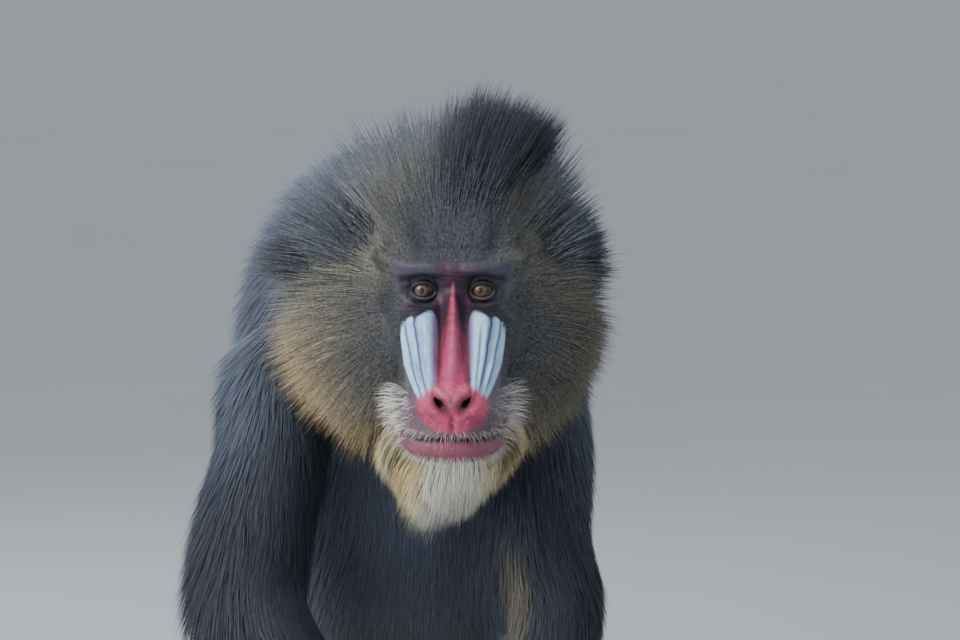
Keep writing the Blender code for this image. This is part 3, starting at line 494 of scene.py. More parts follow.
def limbOrigin(side, which):
    # the place on the floor under the wrist or the ankle
    if which == "hand":
        row = body["arm"][7]
        return np.array([armX(row, side), row[2], 0.0]) + modelShift
    row = body["leg"][6]
    return np.array([side * row[0], row[1], 0.0]) + modelShift


# The bare face, in the head's frame: midline points y, z with half width and depth of the section there
face = {
    "line": (
        (0.046, 0.048, 0.036, 0.022), (0.020, 0.041, 0.044, 0.026), (0.003, 0.029, 0.048, 0.028),
        (-0.006, 0.019, 0.050, 0.029), (-0.004, 0.008, 0.050, 0.030), (-0.003, 0.000, 0.048, 0.031),
        (-0.015, -0.013, 0.043, 0.040), (-0.040, -0.033, 0.041, 0.066), (-0.065, -0.052, 0.039, 0.092),
        (-0.083, -0.063, 0.039, 0.106), (-0.094, -0.074, 0.040, 0.114), (-0.094, -0.087, 0.041, 0.114),
        (-0.090, -0.099, 0.044, 0.112), (-0.086, -0.1065, 0.0465, 0.106), (-0.081, -0.1100, 0.0475, 0.100),
        (-0.083, -0.118, 0.0475, 0.098), (-0.076, -0.132, 0.045, 0.098), (-0.056, -0.143, 0.038, 0.090),
        (-0.026, -0.143, 0.034, 0.072), (0.010, -0.132, 0.032, 0.045),
    ),
    "squareness": 2.5,
    "focus": (0.090, -0.050),       # the sections drop back towards this line
    "mouth": (-0.0825, -0.1100),    # the mouth line at the front of the lips
    "mouthRise": math.radians(8),
    "mouthDroop": 0.0015,           # how far the upper lip hangs lower beside the front teeth
    "rows": 300,
    "quickRows": 160,
    "sideColumns": 13,
    "frontColumns": 122,
    "ridgeHeight": 0.0046,
    "apex": (0.0, 0.050, -0.045),   # where the closing fan behind the face meets
}
nostril = {
    "x": 0.0100,
    "z": -0.0815,
    "slant": math.radians(50),
    "oval": (0.0088, 0.0042),       # its raised rim, half sizes
    "bore": (0.0070, 0.0029),       # the hole, half sizes
    "front": -0.1120,
    "depth": 0.028,
}


def frontLine(z):
    # how far forward the midline of the face stands at that height
    return np.interp(-z, [-0.030, 0.0, 0.013, 0.033, 0.052, 0.063, 0.074, 0.099, 0.1100, 0.132, 0.150],
                     [0.004, -0.003, -0.015, -0.040, -0.065, -0.083, -0.094, -0.090, -0.081, -0.074, -0.050])


def ridgeField(x, y, z):
    # f runs from the bridge (0) to the outer edge of the swelling (1), t from its top (0) to the nostril (1);
    # two grooves start at the outer edge and sweep inwards on their way down, so that the rolls fan out at the top
    wide = np.abs(x)
    t = np.clip((-0.0125 - z) / 0.0640, -0.3, 1.3)
    tt = np.clip(t, 0, 1)
    inner = 0.0134 + 0.0006 * np.sin(math.pi * tt)
    outer = np.interp(t, [0.0, 0.10, 0.20, 0.34, 0.50, 0.65, 0.80, 0.92, 1.0],
                      [0.0270, 0.0345, 0.0392, 0.0412, 0.0405, 0.0383, 0.0345, 0.0305, 0.0280])
    f = (wide - inner) / (outer - inner)
    first = np.interp(t, [0.0, 0.12, 0.25, 0.40, 0.90, 1.0], [0.98, 0.78, 0.62, 0.52, 0.44, 0.44])
    second = np.interp(t, [0.0, 0.10, 0.20, 0.35, 0.50, 0.90, 1.0], [1.40, 1.16, 0.97, 0.83, 0.76, 0.73, 0.73])
    band = np.where(f < first, f / first, np.where(
        f < second, 1 + (f - first) / (second - first), 2 + (f - second) / np.maximum(1.06 - second, 0.06)))
    rolls = np.abs(np.sin(math.pi * np.clip(band, 0, 3))) ** 0.85
    rolls = rolls * (1 - 0.50 * hill(f, 0.50 * first, 0.050) * step(0.14, 0.34, t))
    top = 0.10 * np.clip(f, 0, 1.2) ** 2 + 0.05 * (1 - rolls) + 0.8 * np.clip(0.20 - f, 0, 0.3) ** 2
    along = step(0.0, 0.07, t - top) * (1 - step(0.93, 1.06, t + 0.05 * (1 - rolls)))
    across = step(-0.06, 0.04, f) * (1 - step(0.99, 1.07, f))
    behind = 1 - step(0.040, 0.050, y - frontLine(z))
    return f, t, along * across * behind, rolls


def mouthHeight(x, y, z):
    # height over the mouth line, which climbs backwards and hangs lower at the sides of the lips
    over = (z - face["mouth"][1]) * math.cos(face["mouthRise"]) - (y - face["mouth"][0]) * math.sin(face["mouthRise"])
    wide = np.abs(x)
    droop = face["mouthDroop"] * step(0.008, 0.036, wide) * (1 - step(-0.062, -0.020, y))
    return over + droop


def nostrilRing(x, z):
    # distance from the nostril's slanted oval, 1 on its rim
    wide, up = np.abs(x) - nostril["x"], z - nostril["z"]
    c, s = math.cos(nostril["slant"]), math.sin(nostril["slant"])
    a = (wide * c + up * s) / nostril["oval"][0]
    b = (-wide * s + up * c) / nostril["oval"][1]
    return np.sqrt(a * a + b * b)


def faceRelief(x, y, z):
    # how far the face stands over the plain section: a sum of bells, smooth steps and waves, one for each form
    wide = np.abs(x)
    half = placing["eyeSpacing"] / 2
    relief = -0.0105 * np.exp(-((wide - half) ** 2 + (z - 0.0005) ** 2) / 0.0115**2)
    downNose = np.clip((0.004 - z) / 0.010, 0, 1) * np.clip((z + 0.062) / 0.014, 0, 1)
    relief -= 0.0056 * downNose * hill(wide, 0.0100, 0.0050)
    swelling = np.clip((-0.010 - z) / 0.012, 0, 1) * np.clip((z + 0.074) / 0.016, 0, 1)
    relief += 0.0052 * swelling * hill(wide, 0.0285, 0.0105)
    # long rolls beside the bridge
    _, t, on, rolls = ridgeField(x, y, z)
    relief += on * face["ridgeHeight"] * (rolls - 0.55) * (0.55 + 0.45 * np.sin(math.pi * np.clip(t, 0, 1)))
    # the bridge is a narrow rounded keel with fine cross creases
    relief += 0.0018 * hill(wide, 0, 0.0046) * step(0.006, -0.008, z) * step(-0.078, -0.066, z)
    creases = np.sin(z * 900 + 1.2 * np.sin(x * 160)) * hill(wide, 0, 0.0085)
    relief += 0.00022 * creases * step(0.004, -0.004, z) * step(-0.066, -0.050, z)
    # nose bulb: wings round the nostrils with a raised rim, a dimple between them
    relief += 0.0060 * np.exp(-((wide - 0.0205) / 0.0115) ** 2 - ((z + 0.0815) / 0.0115) ** 2) * (y < -0.02)
    ring = nostrilRing(x, z)
    relief += 0.0012 * hill(ring, 1.75, 0.55) * (y < -0.05) * (0.6 + 0.4 * step(-0.086, -0.078, z))
    relief -= 0.0024 * np.exp(-((ring / 1.15) ** 2)) * (y < -0.05)
    relief += 0.0012 * np.exp(-(wide / 0.006) ** 2 - ((z + 0.073) / 0.006) ** 2) * (y < -0.05)
    relief -= 0.0022 * np.exp(-((wide / 0.0026) ** 2)) * hill(z, -0.0955, 0.0085) * (y < -0.05)
    relief -= 0.0016 * hill(z, -0.0935, 0.0036) * hill(wide, 0.020, 0.010) * (y < -0.05)
    # lips
    over = mouthHeight(x, y, z)
    sides = np.clip((-0.018 - y) / 0.020, 0, 1)
    relief += 0.0030 * hill(over, -0.0090, 0.0070) * sides
    relief += 0.0024 * hill(over, 0.0046, 0.0036) * sides
    relief -= 0.0034 * hill(over, 0.0, 0.00135) * sides
    pleats = np.abs(np.sin(np.arctan2(x, -(y + 0.02)) * 46 + 0.8 * np.sin(z * 500)))
    relief -= 0.00045 * pleats * hill(over, -0.0080, 0.0062) * sides
    relief -= 0.0003 * pleats * hill(over, 0.006, 0.0045) * sides
    # brow: a heavy bar, notched in the middle, with furrows over it
    relief += 0.0070 * hill(z, 0.0184, 0.0058) * (0.66 + 0.34 * step(0.004, 0.020, wide)) * (y < 0.03)
    relief -= 0.0026 * hill(z, 0.0086, 0.0036) * step(0.006, 0.014, wide) * (1 - step(0.038, 0.048, wide))
    furrows = np.sin(z * 1500 + 2.0 * np.sin(x * 90))
    relief += 0.00045 * furrows * step(0.006, 0.012, z) * (1 - step(0.026, 0.034, z))
    relief -= 0.0006 * hill(wide, 0.0055, 0.0022) * step(0.002, 0.010, z) * (1 - step(0.016, 0.024, z))
    # bags and folds under the eyes, running down and out
    for low, size in ((-0.0125, 0.0011), (-0.0165, 0.0008)):
        under = z - low - 0.10 * (wide - half) + 18 * (wide - half) ** 2
        relief += size * hill(under, 0, 0.0013) * hill(wide, half + 0.001, 0.012)
    # fine wrinkled grain everywhere
    p = np.stack([x, y, z], -1)
    relief += 0.00028 * softNoise(p, 0.0035, 3) + 0.00016 * softNoise(p, 0.0017, 4)
    return relief


def sectionTurns():
    # angles of the section that give close even columns across the front and wider ones down the sides
    fine = np.linspace(0, math.pi / 2, 4000)
    power = 2 / face["squareness"]
    x = 0.043 * np.sin(fine) ** power
    drop = 0.100 * (1 - np.cos(fine) ** power)
    length = np.concatenate([[0], np.cumsum(np.hypot(np.diff(x), np.diff(drop)))])
    frontEnd = 0.062
    front = np.linspace(0, frontEnd, face["frontColumns"] // 2 + 1)
    rest = np.linspace(0, 1, face["sideColumns"] + 1)[1:]
    rest = frontEnd + (length[-1] - frontEnd) * rest**1.35
    turns = np.interp(np.concatenate([front, rest]), length, fine)
    return np.concatenate([-turns[:0:-1], turns])


def faceBase(rows, turns):
    # section points: x is the half width times sin(turn) to the 2/squareness, and the section drops back towards
    # the focus line by its depth times (1 - cos(turn) to the same power)
    line = np.array(face["line"])
    where = curveThrough(line, 1200)
    length = np.concatenate([[0], np.cumsum(np.linalg.norm(np.diff(where[:, :2], axis=0), axis=1))])
    share = np.linspace(0, length[-1], rows)
    y, z, half, depth = (np.interp(share, length, where[:, k])[:, None] for k in range(4))
    power = 2 / face["squareness"]
    sine, cosine = np.sin(turns)[None, :], np.abs(np.cos(turns))[None, :]
    x = half * np.sign(sine) * np.abs(sine) ** power
    drop = depth * (1 - cosine**power)
    backY, backZ = face["focus"][0] - y, face["focus"][1] - z
    reach = np.hypot(backY, backZ)
    return np.stack([x, y + backY / reach * drop, z + backZ / reach * drop], -1)


def gridNormals(grid):
    # the cross product of the differences across and down the grid
    down = np.gradient(grid, axis=0)
    across = np.gradient(grid, axis=1)
    return unit(np.cross(across, down))


def faceGrid():
    # the plain section, moved out along its normals by the relief
    turns = sectionTurns()
    rows = byDetail(face["rows"])
    base = faceBase(rows, turns)
    normal = gridNormals(base)
    if normal[rows // 2, len(turns) // 2, 1] > 0:
        normal = -normal
    relief = faceRelief(base[..., 0], base[..., 1], base[..., 2])
    edge = np.minimum(np.arange(rows), np.arange(rows)[::-1])[:, None] / 12
    grid = base + normal * (relief * np.clip(edge, 0, 1))[..., None]
    # a bowl behind each eyeball, so that only the lids hold it
    for side in (-1, 1):
        centre = eyePlace(side)
        away = np.hypot(grid[..., 0] - centre[0], grid[..., 2] - centre[2])
        near = (grid[..., 1] < 0.03) * (1 - step(0.0085, 0.0118, away))
        grid[..., 1] += 0.010 * near
    return grid


def faceObject():
    # the grid, closed behind by a fan of triangles from its rim to one point
    grid = faceGrid()
    rows, cols = grid.shape[:2]
    points, faces = gridShape(grid, closedAcross=False, poles=False)
    rim = np.concatenate([
        np.arange(cols), np.arange(1, rows) * cols + cols - 1,
        (rows - 1) * cols + np.arange(cols - 2, -1, -1), np.arange(rows - 2, 0, -1) * cols,
    ])
    points = np.vstack([points, face["apex"]])
    fan = np.stack([rim, np.roll(rim, -1), np.full(len(rim), len(points) - 1)], -1)
    return moved(outwards(objectFrom("face", points, faces + [fan])), headToWorld)


lids = {
    "halfLong": 0.0090,
    "upper": 0.0050,      # height of the opening over the eye's axis
    "lower": 0.0052,
    "thick": 0.0011,
    "reach": 1.16,        # how far round the ball the lids go, in radians from its axis
    "flare": 0.0042,      # how far they spread from the ball at their outer edge
}


def lidOpening(turn):
    # an almond: cosine across, sine up, each to its own power, dipping towards the nose
    c, s = np.cos(turn), np.sin(turn)
    x = np.sign(c) * np.abs(c) ** 0.92 * lids["halfLong"]
    height = np.where(s > 0, lids["upper"], lids["lower"])
    z = np.sign(s) * np.abs(s) ** 1.12 * height
    return x, z


def lidObject(side):
    # a shell on the eyeball: rows run from the rim of the opening out over the ball and back on its inside
    turn = np.arange(90) * 2 * math.pi / 90
    ex, ez = lidOpening(turn)
    ez = ez - 0.0012 * (ex * -side > 0) * (np.abs(ex) / lids["halfLong"]) ** 2     # inner corner set lower
    away = np.hypot(ex, ez)
    ux, uz = ex / away, ez / away
    start = np.arcsin(away / (placing["eyeRadius"] + lids["thick"]))
    outer = np.linspace(0, 1, 22)
    inner = np.linspace(1, 0.02, 9)
    s = np.concatenate([outer, inner])[:, None]
    isInner = np.concatenate([np.zeros(22), np.ones(9)])[:, None]
    angle = start + s * (lids["reach"] - start)
    upper = (uz > 0)[None, :]
    fold = -0.0010 * hill(s, 0.50, 0.10) * upper + 0.0006 * hill(s, 0.30, 0.16) * upper
    fold = fold - 0.0005 * hill(s, 0.42, 0.07) * ~upper + 0.0005 * hill(s, 0.22, 0.12) * ~upper
    rounding = lids["thick"] * (1 - np.exp(-s * 14))
    flare = lids["flare"] * step(0.50, 1.0, s) ** 1.5
    radius = placing["eyeRadius"] + 0.00015 + np.where(isInner > 0, 0.0, 0.0004 + rounding + fold + flare)
    grid = np.stack([
        np.sin(angle) * ux * radius,
        -np.cos(angle) * radius,
        np.sin(angle) * uz * radius,
    ], -1) + eyePlace(side)
    rows, cols = grid.shape[:2]
    points, faces = gridShape(grid, poles=False)
    c = np.arange(cols)
    n = (c + 1) % cols
    closing = np.stack([(rows - 1) * cols + c, (rows - 1) * cols + n, n, c], -1)
    return moved(outwards(objectFrom("lids", points, faces + [closing])), headToWorld)


def nostrilCutter(side):
    # a slanted oval tube that narrows inwards and bends up and back
    c, s = math.cos(nostril["slant"]), math.sin(nostril["slant"])
    longWay, shortWay = np.array([side * c, 0.0, s]), np.array([-side * s, 0.0, c])
    t = np.linspace(0, 1, 16)
    centre = np.stack([side * (nostril["x"] + 0.0015 * t), nostril["front"] + nostril["depth"] * t,
                       nostril["z"] + 0.003 * t**2], -1)
    size = 1.0 - 0.75 * np.clip((t - 0.45) / 0.55, 0, 1) ** 1.5
    turn = np.arange(40) * 2 * math.pi / 40
    ring = np.cos(turn)[:, None] * longWay * nostril["bore"][0] + np.sin(turn)[:, None] * shortWay * (
        nostril["bore"][1] * (1 - 0.45 * np.cos(turn))[:, None]
    )
    return moved(
        outwards(objectFrom("nostril", *gridShape(centre[:, None, :] + ring[None] * size[:, None, None]))),
        headToWorld,
    )


ears = {"place": (0.072, 0.084, 0.008), "half": (0.0085, 0.0155, 0.0235), "cup": 0.0085, "turn": -38, "tilt": 12}


def earObject(side):
    # an oval, pushed in on its outer face by a bowl, with a rolled rim and an inner ridge
    grid = ballGrid((0, 0, 0), (1, 1, 1), 32, 40)
    across, high = grid[..., 1], grid[..., 2]
    away = np.hypot(across, high)
    facing = grid[..., 0] > 0
    bowl = facing * (1 - step(0.45, 0.86, away)) * ears["cup"]
    bowl = bowl - facing * 0.0030 * hill(away, 0.52, 0.09) * step(-0.2, 0.5, high)
    pointed = 1 + 0.10 * step(0.4, 1.0, high)
    shape = grid * np.array(ears["half"])
    shape[..., 2] *= pointed
    shape[..., 0] -= bowl
    points, faces = gridShape(shape)
    turn = Matrix.Rotation(math.radians(ears["turn"]), 3, "Z") @ Matrix.Rotation(math.radians(ears["tilt"]), 3, "Y")
    points = points @ np.array(turn).T + np.array(ears["place"])
    points[:, 0] *= side
    return moved(outwards(objectFrom("ear", points, faces)), headToWorld)


def buildSkin():
    # body, face, lids, ears, hands and feet in one closed surface, with the nostrils cut in and the soles flat
    skin = bodySkin()
    report("body skin grown")
    parts = [faceObject(), lidObject(1), lidObject(-1), earObject(1), earObject(-1)]
    for side in (-1, 1):
        for which, shape in (("hand", hand), ("foot", foot)):
            parts.append(limbEnd(shape, side, limbOrigin(side, which)))
    report("face, lids, ears, hands and feet shaped")
    fused(skin, parts)
    fused(skin, [nostrilCutter(s) for s in (-1, 1)], "DIFFERENCE")
    points = pointsOf(skin)
    points[:, 2] = np.maximum(points[:, 2], 0.0002)
    setPoints(skin, points)
    skin.data.shade_smooth()
    skin.data.calc_loop_triangles()
    report("skin fused: %d triangles" % len(skin.data.loop_triangles))
    return skin


skin = buildSkin()

# Colours are linear red, green, blue
tones = {
    "nose": (0.600, 0.070, 0.170),
    # painted shade under the nose's wings, in the groove below it and round the nostrils
    "noseShade": (0.220, 0.020, 0.050),
    "bridge": (0.500, 0.055, 0.150),
    # a painted highlight along the top of the bridge's keel
    "bridgeHighlight": (0.720, 0.200, 0.330),
    # the rolls' blue with painted light and shade: the lightest on their crests, darker down their sides, the darkest
    # as painted shade in the grooves
    "ridge": (0.500, 0.790, 1.000),
    "ridgeLow": (0.270, 0.420, 0.760),
    "groove": (0.060, 0.085, 0.200),
    "magenta": (0.430, 0.060, 0.230),
    "brow": (0.064, 0.058, 0.088),
    "browRed": (0.090, 0.036, 0.062),
    "socket": (0.020, 0.015, 0.026),
    # painted highlight on the lower lids' rims and under the eyes
    "lidHighlight": (0.120, 0.105, 0.135),
    "wine": (0.040, 0.014, 0.030),
    "muzzleSide": (0.130, 0.095, 0.130),
    "lip": (0.270, 0.076, 0.118),
    "lipEdge": (0.110, 0.075, 0.095),
    # painted shade in the mouth line
    "mouth": (0.030, 0.016, 0.022),
    "dark": (0.030, 0.027, 0.030),
    "palm": (0.055, 0.045, 0.046),
    "ear": (0.240, 0.160, 0.170),
    "rumpBlue": (0.220, 0.260, 0.500),
    "rumpPink": (0.560, 0.150, 0.230),
    "callus": (0.300, 0.130, 0.140),
}


def faceColours(p):
    # layers of colour from the skin up, each blended in by steps and hills of the place in the head's frame
    x, y, z = p[:, 0], p[:, 1], p[:, 2]
    wide = np.abs(x)
    half = placing["eyeSpacing"] / 2
    tone = {name: np.array(value) for name, value in tones.items()}
    made = np.tile(tone["muzzleSide"], (len(p), 1))
    mottled = step(0.35, 0.75, 0.5 + 0.5 * softNoise(p, 0.006, 54))
    made = blend(made, tone["lip"] * 0.9, 0.62 * step(-0.070, -0.096, z) * mottled)
    made = blend(made, (0.085, 0.080, 0.110), 0.45 * step(-0.030, -0.060, z) * (1 - mottled))
    # dark round the eyes and down beside the top of the bridge, the brow a little lighter
    upper = step(-0.034, -0.022, z + 0.10 * np.maximum(wide - 0.030, 0))
    made = blend(made, tone["socket"] * 1.3, upper)
    made = blend(made, tone["wine"], step(-0.012, -0.030, z) * (1 - step(0.010, 0.014, wide)) * (z > -0.06))
    made = blend(made, tone["brow"], step(0.0085, 0.0125, z))
    made = blend(made, tone["browRed"], 0.85 * hill(wide, 0, 0.013) * step(0.006, 0.012, z))
    made = blend(made, tone["wine"] * 1.6, 0.8 * hill(wide, 0.0100, 0.0045) * hill(z, 0.000, 0.010))
    made = blend(made, tone["magenta"] * 0.30, 0.7 * hill(wide, 0.0125, 0.0050) * hill(z, -0.004, 0.007))
    # the rolls beside the nose: their own pale blue with painted light and shade, lighter on their crests, darker down
    # their sides and darkest in the grooves as painted shade; lavender and magenta on their inner edge
    f, t, on, rolls = ridgeField(x, y, z)
    roll = blend(tone["ridgeLow"], tone["ridge"], step(0.35, 0.85, rolls))
    roll = blend(roll, tone["groove"], 1 - step(0.10, 0.50, rolls))
    inner = 1 - step(-0.02, 0.07, f)
    roll = blend(roll, tone["magenta"], 0.7 * inner)
    roll = blend(roll, (0.50, 0.40, 0.72), 0.30 * (1 - step(0.02, 0.16, f)))
    roll = blend(roll, tone["ridgeLow"] * 0.8, 0.45 * (1 - step(0.02, 0.12, t)))
    made = blend(made, roll, np.clip(on * 1.4, 0, 1) * (z < -0.004))
    # the red bridge: a thin bright keel between the eyes that widens into the nose
    heights = [-0.008, 0.0, 0.012, 0.022, 0.034, 0.050, 0.072]
    keelWidth = np.interp(-z, heights, [0.0006, 0.0018, 0.0027, 0.0037, 0.0058, 0.0086, 0.0112])
    redWidth = np.interp(-z, heights, [0.0010, 0.0022, 0.0034, 0.0052, 0.0090, 0.0118, 0.0132])
    onBridge = step(0.010, 0.002, z) * (y < 0.004)
    made = blend(made, tone["bridge"] * 0.42, (1 - step(0.80, 1.25, wide / redWidth)) * onBridge)
    made = blend(made, tone["bridge"] * (0.75 + 0.25 * step(-0.020, -0.045, z))[:, None],
                 (1 - step(0.70, 1.15, wide / keelWidth)) * onBridge)
    # a painted highlight along the top of the keel
    keelTop = (1 - step(0.15, 0.60, wide / keelWidth)) * onBridge
    made = blend(made, tone["bridgeHighlight"], 0.45 * keelTop * step(-0.066, -0.050, z))
    # nose, its centre greyer, with painted shade under the wings and in the groove below its middle
    bulb = (1 - step(0.80, 1.06, np.hypot(wide / 0.0300, (z + 0.0850) / 0.0215))) * (y < -0.045)
    made = blend(made, tone["nose"], bulb)
    made = blend(made, (0.30, 0.14, 0.19), 0.65 * bulb * hill(wide, 0, 0.0085) * hill(z, -0.080, 0.0065))
    made = blend(made, tone["noseShade"], 0.6 * bulb * hill(z, -0.0975, 0.0045) * step(0.004, 0.018, wide))
    made = blend(made, tone["noseShade"], 0.8 * bulb * hill(wide, 0, 0.0022) * step(-0.088, -0.094, z))
    # pink grains over the nose, partly its own mottling and partly painted glints
    grains = 0.5 + 0.5 * softNoise(p, 0.0022, 12)
    made = blend(made, (0.80, 0.26, 0.40), 0.50 * bulb * step(0.62, 0.95, grains))
    # painted shade round the nostrils, and darker still inside them
    ring = nostrilRing(x, z)
    made = blend(made, tone["noseShade"], 0.85 * (1 - step(0.80, 1.75, ring)) * (y < -0.06))
    made = blend(made, (0.085, 0.022, 0.034), (1 - step(0.60, 1.05, ring)) * (y < -0.06))
    # lips: dark over the mouth line, red under it, grey towards the corners
    over = mouthHeight(x, y, z)
    sides = step(-0.010, -0.035, y)
    made = blend(made, tone["lipEdge"], hill(over, 0.0050, 0.0050) * sides * (1 - 0.8 * bulb))
    made = blend(made, tone["lip"], hill(over, -0.0095, 0.0095) * sides * (1 - 0.65 * step(0.032, 0.045, wide)))
    # the dark mouth line is painted shade in the crease between the lips
    made = blend(made, tone["mouth"], (1 - step(0.0010, 0.0032, np.abs(over))) * sides)
    made = blend(made, fur("white") * 0.35, step(-0.0190, -0.0230, over) * step(0.0, -0.03, y))
    # sockets and lids, with painted highlights along the lower lid's rim and along a curve under each eye
    away = np.hypot((wide - half) / 1.15, z - 0.001)
    made = blend(made, tone["socket"], (1 - step(0.0095, 0.0150, away)) * (y < 0.03))
    lowRimHighlight = hill(np.hypot((wide - half) / 1.45, np.minimum(z, 0)), 0.0061, 0.0008) * (z < -0.001) * (y < 0.008)
    made = blend(made, tone["lidHighlight"], 0.55 * lowRimHighlight)
    bagHighlight = hill(z + 0.0115 - 18 * (wide - half) ** 2, 0, 0.0011) * hill(wide, half, 0.010)
    return blend(made, tone["lidHighlight"], 0.45 * bagHighlight)


def skinColours(points, normals):
    # the coat's own markings, and over them the colours of the bare face, ears, hands, feet and rump
    p = worldToHead(points)
    x, y, z = p[:, 0], p[:, 1], p[:, 2]
    wide = np.abs(x)
    tone = {name: np.array(value) for name, value in tones.items()}
    bodyRoot, bodyTip = bodyMarkings(points, normals, bodyField(points)[0])
    headRoot, headTip = headMarkings(p)
    colour = np.where(onHead(points)[:, None], headRoot * 0.4 + headTip * 0.35, bodyRoot * 0.5 + bodyTip * 0.25)
    onFace = (z > -0.155) & (wide < 0.062) & (y < 0.040)
    colour = blend(colour, faceColours(p), onFace * bareFace(p))
    # ears
    inEar = np.linalg.norm((np.stack([wide, y, z], -1) - (0.074, 0.084, 0.008)) / (0.016, 0.020, 0.028), axis=-1) < 1
    colour = blend(colour, tone["ear"], inEar * 1.0)
    # hands and feet
    w = points - modelShift
    low = step(0.060, 0.042, w[:, 2]) * (w[:, 1] < -0.03)
    colour = blend(colour, tone["dark"], low)
    colour = blend(colour, tone["palm"], low * step(0.0, -0.5, normals[:, 2]))
    # bare rump round the tail: blue at the sides, pink in the middle, the seat pads below it
    bare = rumpField(w)
    colour = blend(colour, tone["rumpBlue"], step(0.30, 0.70, bare))
    pink = np.exp(-((w[:, 0] / 0.034) ** 2) - ((w[:, 2] - 0.118) / 0.034) ** 2)
    colour = blend(colour, tone["rumpPink"], step(0.30, 0.70, bare) * step(0.15, 0.75, pink))
    pads = np.hypot((np.abs(w[:, 0]) - 0.046) / 0.030, (w[:, 2] - 0.052) / 0.026) + 4 * (w[:, 1] < 0.17)
    colour = blend(colour, tone["callus"], 1 - step(0.75, 1.05, pads))
    grain = 1 + 0.10 * softNoise(points, 0.004, 9) + 0.08 * softNoise(points, 0.012, 10)
    return np.clip(colour * grain[:, None], 0, 1)


def setColours(made, name, colours):
    layer = made.data.color_attributes.new(name, "FLOAT_COLOR", "POINT")
    full = np.ones((len(colours), 4), np.float32)
    full[:, :3] = colours
    layer.data.foreach_set("color", full.ravel())


def material(name, settings, nodes, links):
    # a Principled shader with its own sockets set, nodes given as kind, place, sockets and properties, and links
    # written "node.output > node.input", where a number is an input's place in its node
    made = bpy.data.materials.new(name)
    made.use_nodes = True
    tree = made.node_tree
    found = {"shader": tree.nodes["Principled BSDF"]}
    for socket, value in settings.items():
        found["shader"].inputs[socket].default_value = value
    for label, (kind, place, sockets, properties) in nodes.items():
        node = found[label] = tree.nodes.new("ShaderNode" + kind)
        node.location = place
        for socket, value in sockets.items():
            node.inputs[socket].default_value = value
        for key, value in properties.items():
            if key == "stops":
                setRamp(node.color_ramp.elements, value)
            else:
                setattr(node, key, value)
    for link in links:
        (source, output), (goal, socket) = (end.split(".") for end in link.split(" > "))
        socket = int(socket) if socket.isdigit() else socket
        tree.links.new(found[source].outputs[output], found[goal].inputs[socket])
    return made


def setRamp(elements, stops):
    while len(elements) < len(stops):
        elements.new(0.5)
    for element, (place, colour) in zip(elements, stops):
        element.position = place
        element.color = (*colour, 1.0)


def rangeTo(low, high, fromLow=0.0, fromHigh=1.0):
    return {"From Min": fromLow, "From Max": fromHigh, "To Min": low, "To Max": high}


def skinMaterial():
    # the vertex colour times a fine noise; noise and pores make the bump
    return material(
        "bareSkin",
        {"Roughness": 0.50, "Subsurface Weight": 0.06, "Subsurface Radius": (0.6, 0.3, 0.2),
         "Subsurface Scale": 0.004},
        {
            "tone": ("Attribute", (-900, 200), {}, {"attribute_name": "skinTone"}),
            "where": ("TexCoord", (-1300, -100), {}, {}),
            "fine": ("TexNoise", (-1050, -50), {"Scale": 420.0, "Detail": 4.0, "Roughness": 0.6}, {}),
            "pores": ("TexVoronoi", (-1050, -350), {"Scale": 900.0}, {}),
            "shade": ("MapRange", (-800, -50), rangeTo(0.80, 1.20), {}),
            "product": ("VectorMath", (-600, 150), {}, {"operation": "SCALE"}),
            "height": ("Math", (-800, -350), {}, {"operation": "ADD"}),
            "bump": ("Bump", (-400, -250), {"Strength": 0.35, "Distance": 0.0006}, {}),
        },
        ("where.Object > fine.Vector", "where.Object > pores.Vector", "fine.Fac > shade.Value",
         "tone.Color > product.0", "shade.Result > product.Scale", "product.Vector > shader.Base Color",
         "fine.Fac > height.0", "pores.Distance > height.1", "height.Value > bump.Height",
         "bump.Normal > shader.Normal"),
    )


def coatMaterial(name, ticking):
    # the colour from root to tip, times streaks along the hairs, times the ticking: fine light and dark bands
    return material(
        name,
        {"Roughness": 0.62, "Specular IOR Level": 0.30},
        {
            "tone": ("Attribute", (-900, 300), {}, {"attribute_name": "coatTone"}),
            "where": ("UVMap", (-1500, 0), {}, {"uv_map": "strands"}),
            "strands": ("TexNoise", (-1250, 0), {"Scale": 1.6, "Detail": 2.0, "Roughness": 0.6}, {}),
            "shade": ("MapRange", (-1000, 0), rangeTo(0.82, 1.18, 0.30, 0.70), {}),
            "inPlace": ("TexCoord", (-1500, -350), {}, {}),
            "ticks": ("TexNoise", (-1250, -350), {"Scale": 430.0, "Detail": 1.0, "Roughness": 0.5}, {}),
            "banded": ("MapRange", (-1000, -350), rangeTo(1 - ticking, 1 + ticking, 0.36, 0.64), {}),
            "both": ("Math", (-800, -100), {}, {"operation": "MULTIPLY"}),
            "product": ("VectorMath", (-600, 150), {}, {"operation": "SCALE"}),
        },
        ("where.UV > strands.Vector", "strands.Fac > shade.Value", "inPlace.Object > ticks.Vector",
         "ticks.Fac > banded.Value", "shade.Result > both.0", "banded.Result > both.1", "tone.Color > product.0",
         "both.Value > product.Scale", "product.Vector > shader.Base Color"),
    )


def giveMaterial(made, look):
    made.data.materials.clear()
    made.data.materials.append(look)


bareSkin = skinMaterial()
coat = coatMaterial("coat", 0.12)
tickedCoat = coatMaterial("tickedCoat", 0.42)
giveMaterial(skin, bareSkin)
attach(skin, "root")
limbParts = ("upper_arm", "forearm", "hand", "thigh", "shin", "foot")
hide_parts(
    "head", "jaw", "ear_left", "ear_right", "neck", "torso", "hips", "tail",
    *[part + "_" + side for part in limbParts for side in ("left", "right")],
)

# Eyes: the ball with a swollen cornea; its map holds the place across the iris
eye = {
    "gaze": (math.radians(-9), math.radians(-1)),    # to the animal's right, and up
    "iris": 0.0057,
    "pupil": 0.0023,
    "swelling": 0.0008,
    "mapWidth": 0.04,        # how much of the eye the map from 0 to 1 spans
}


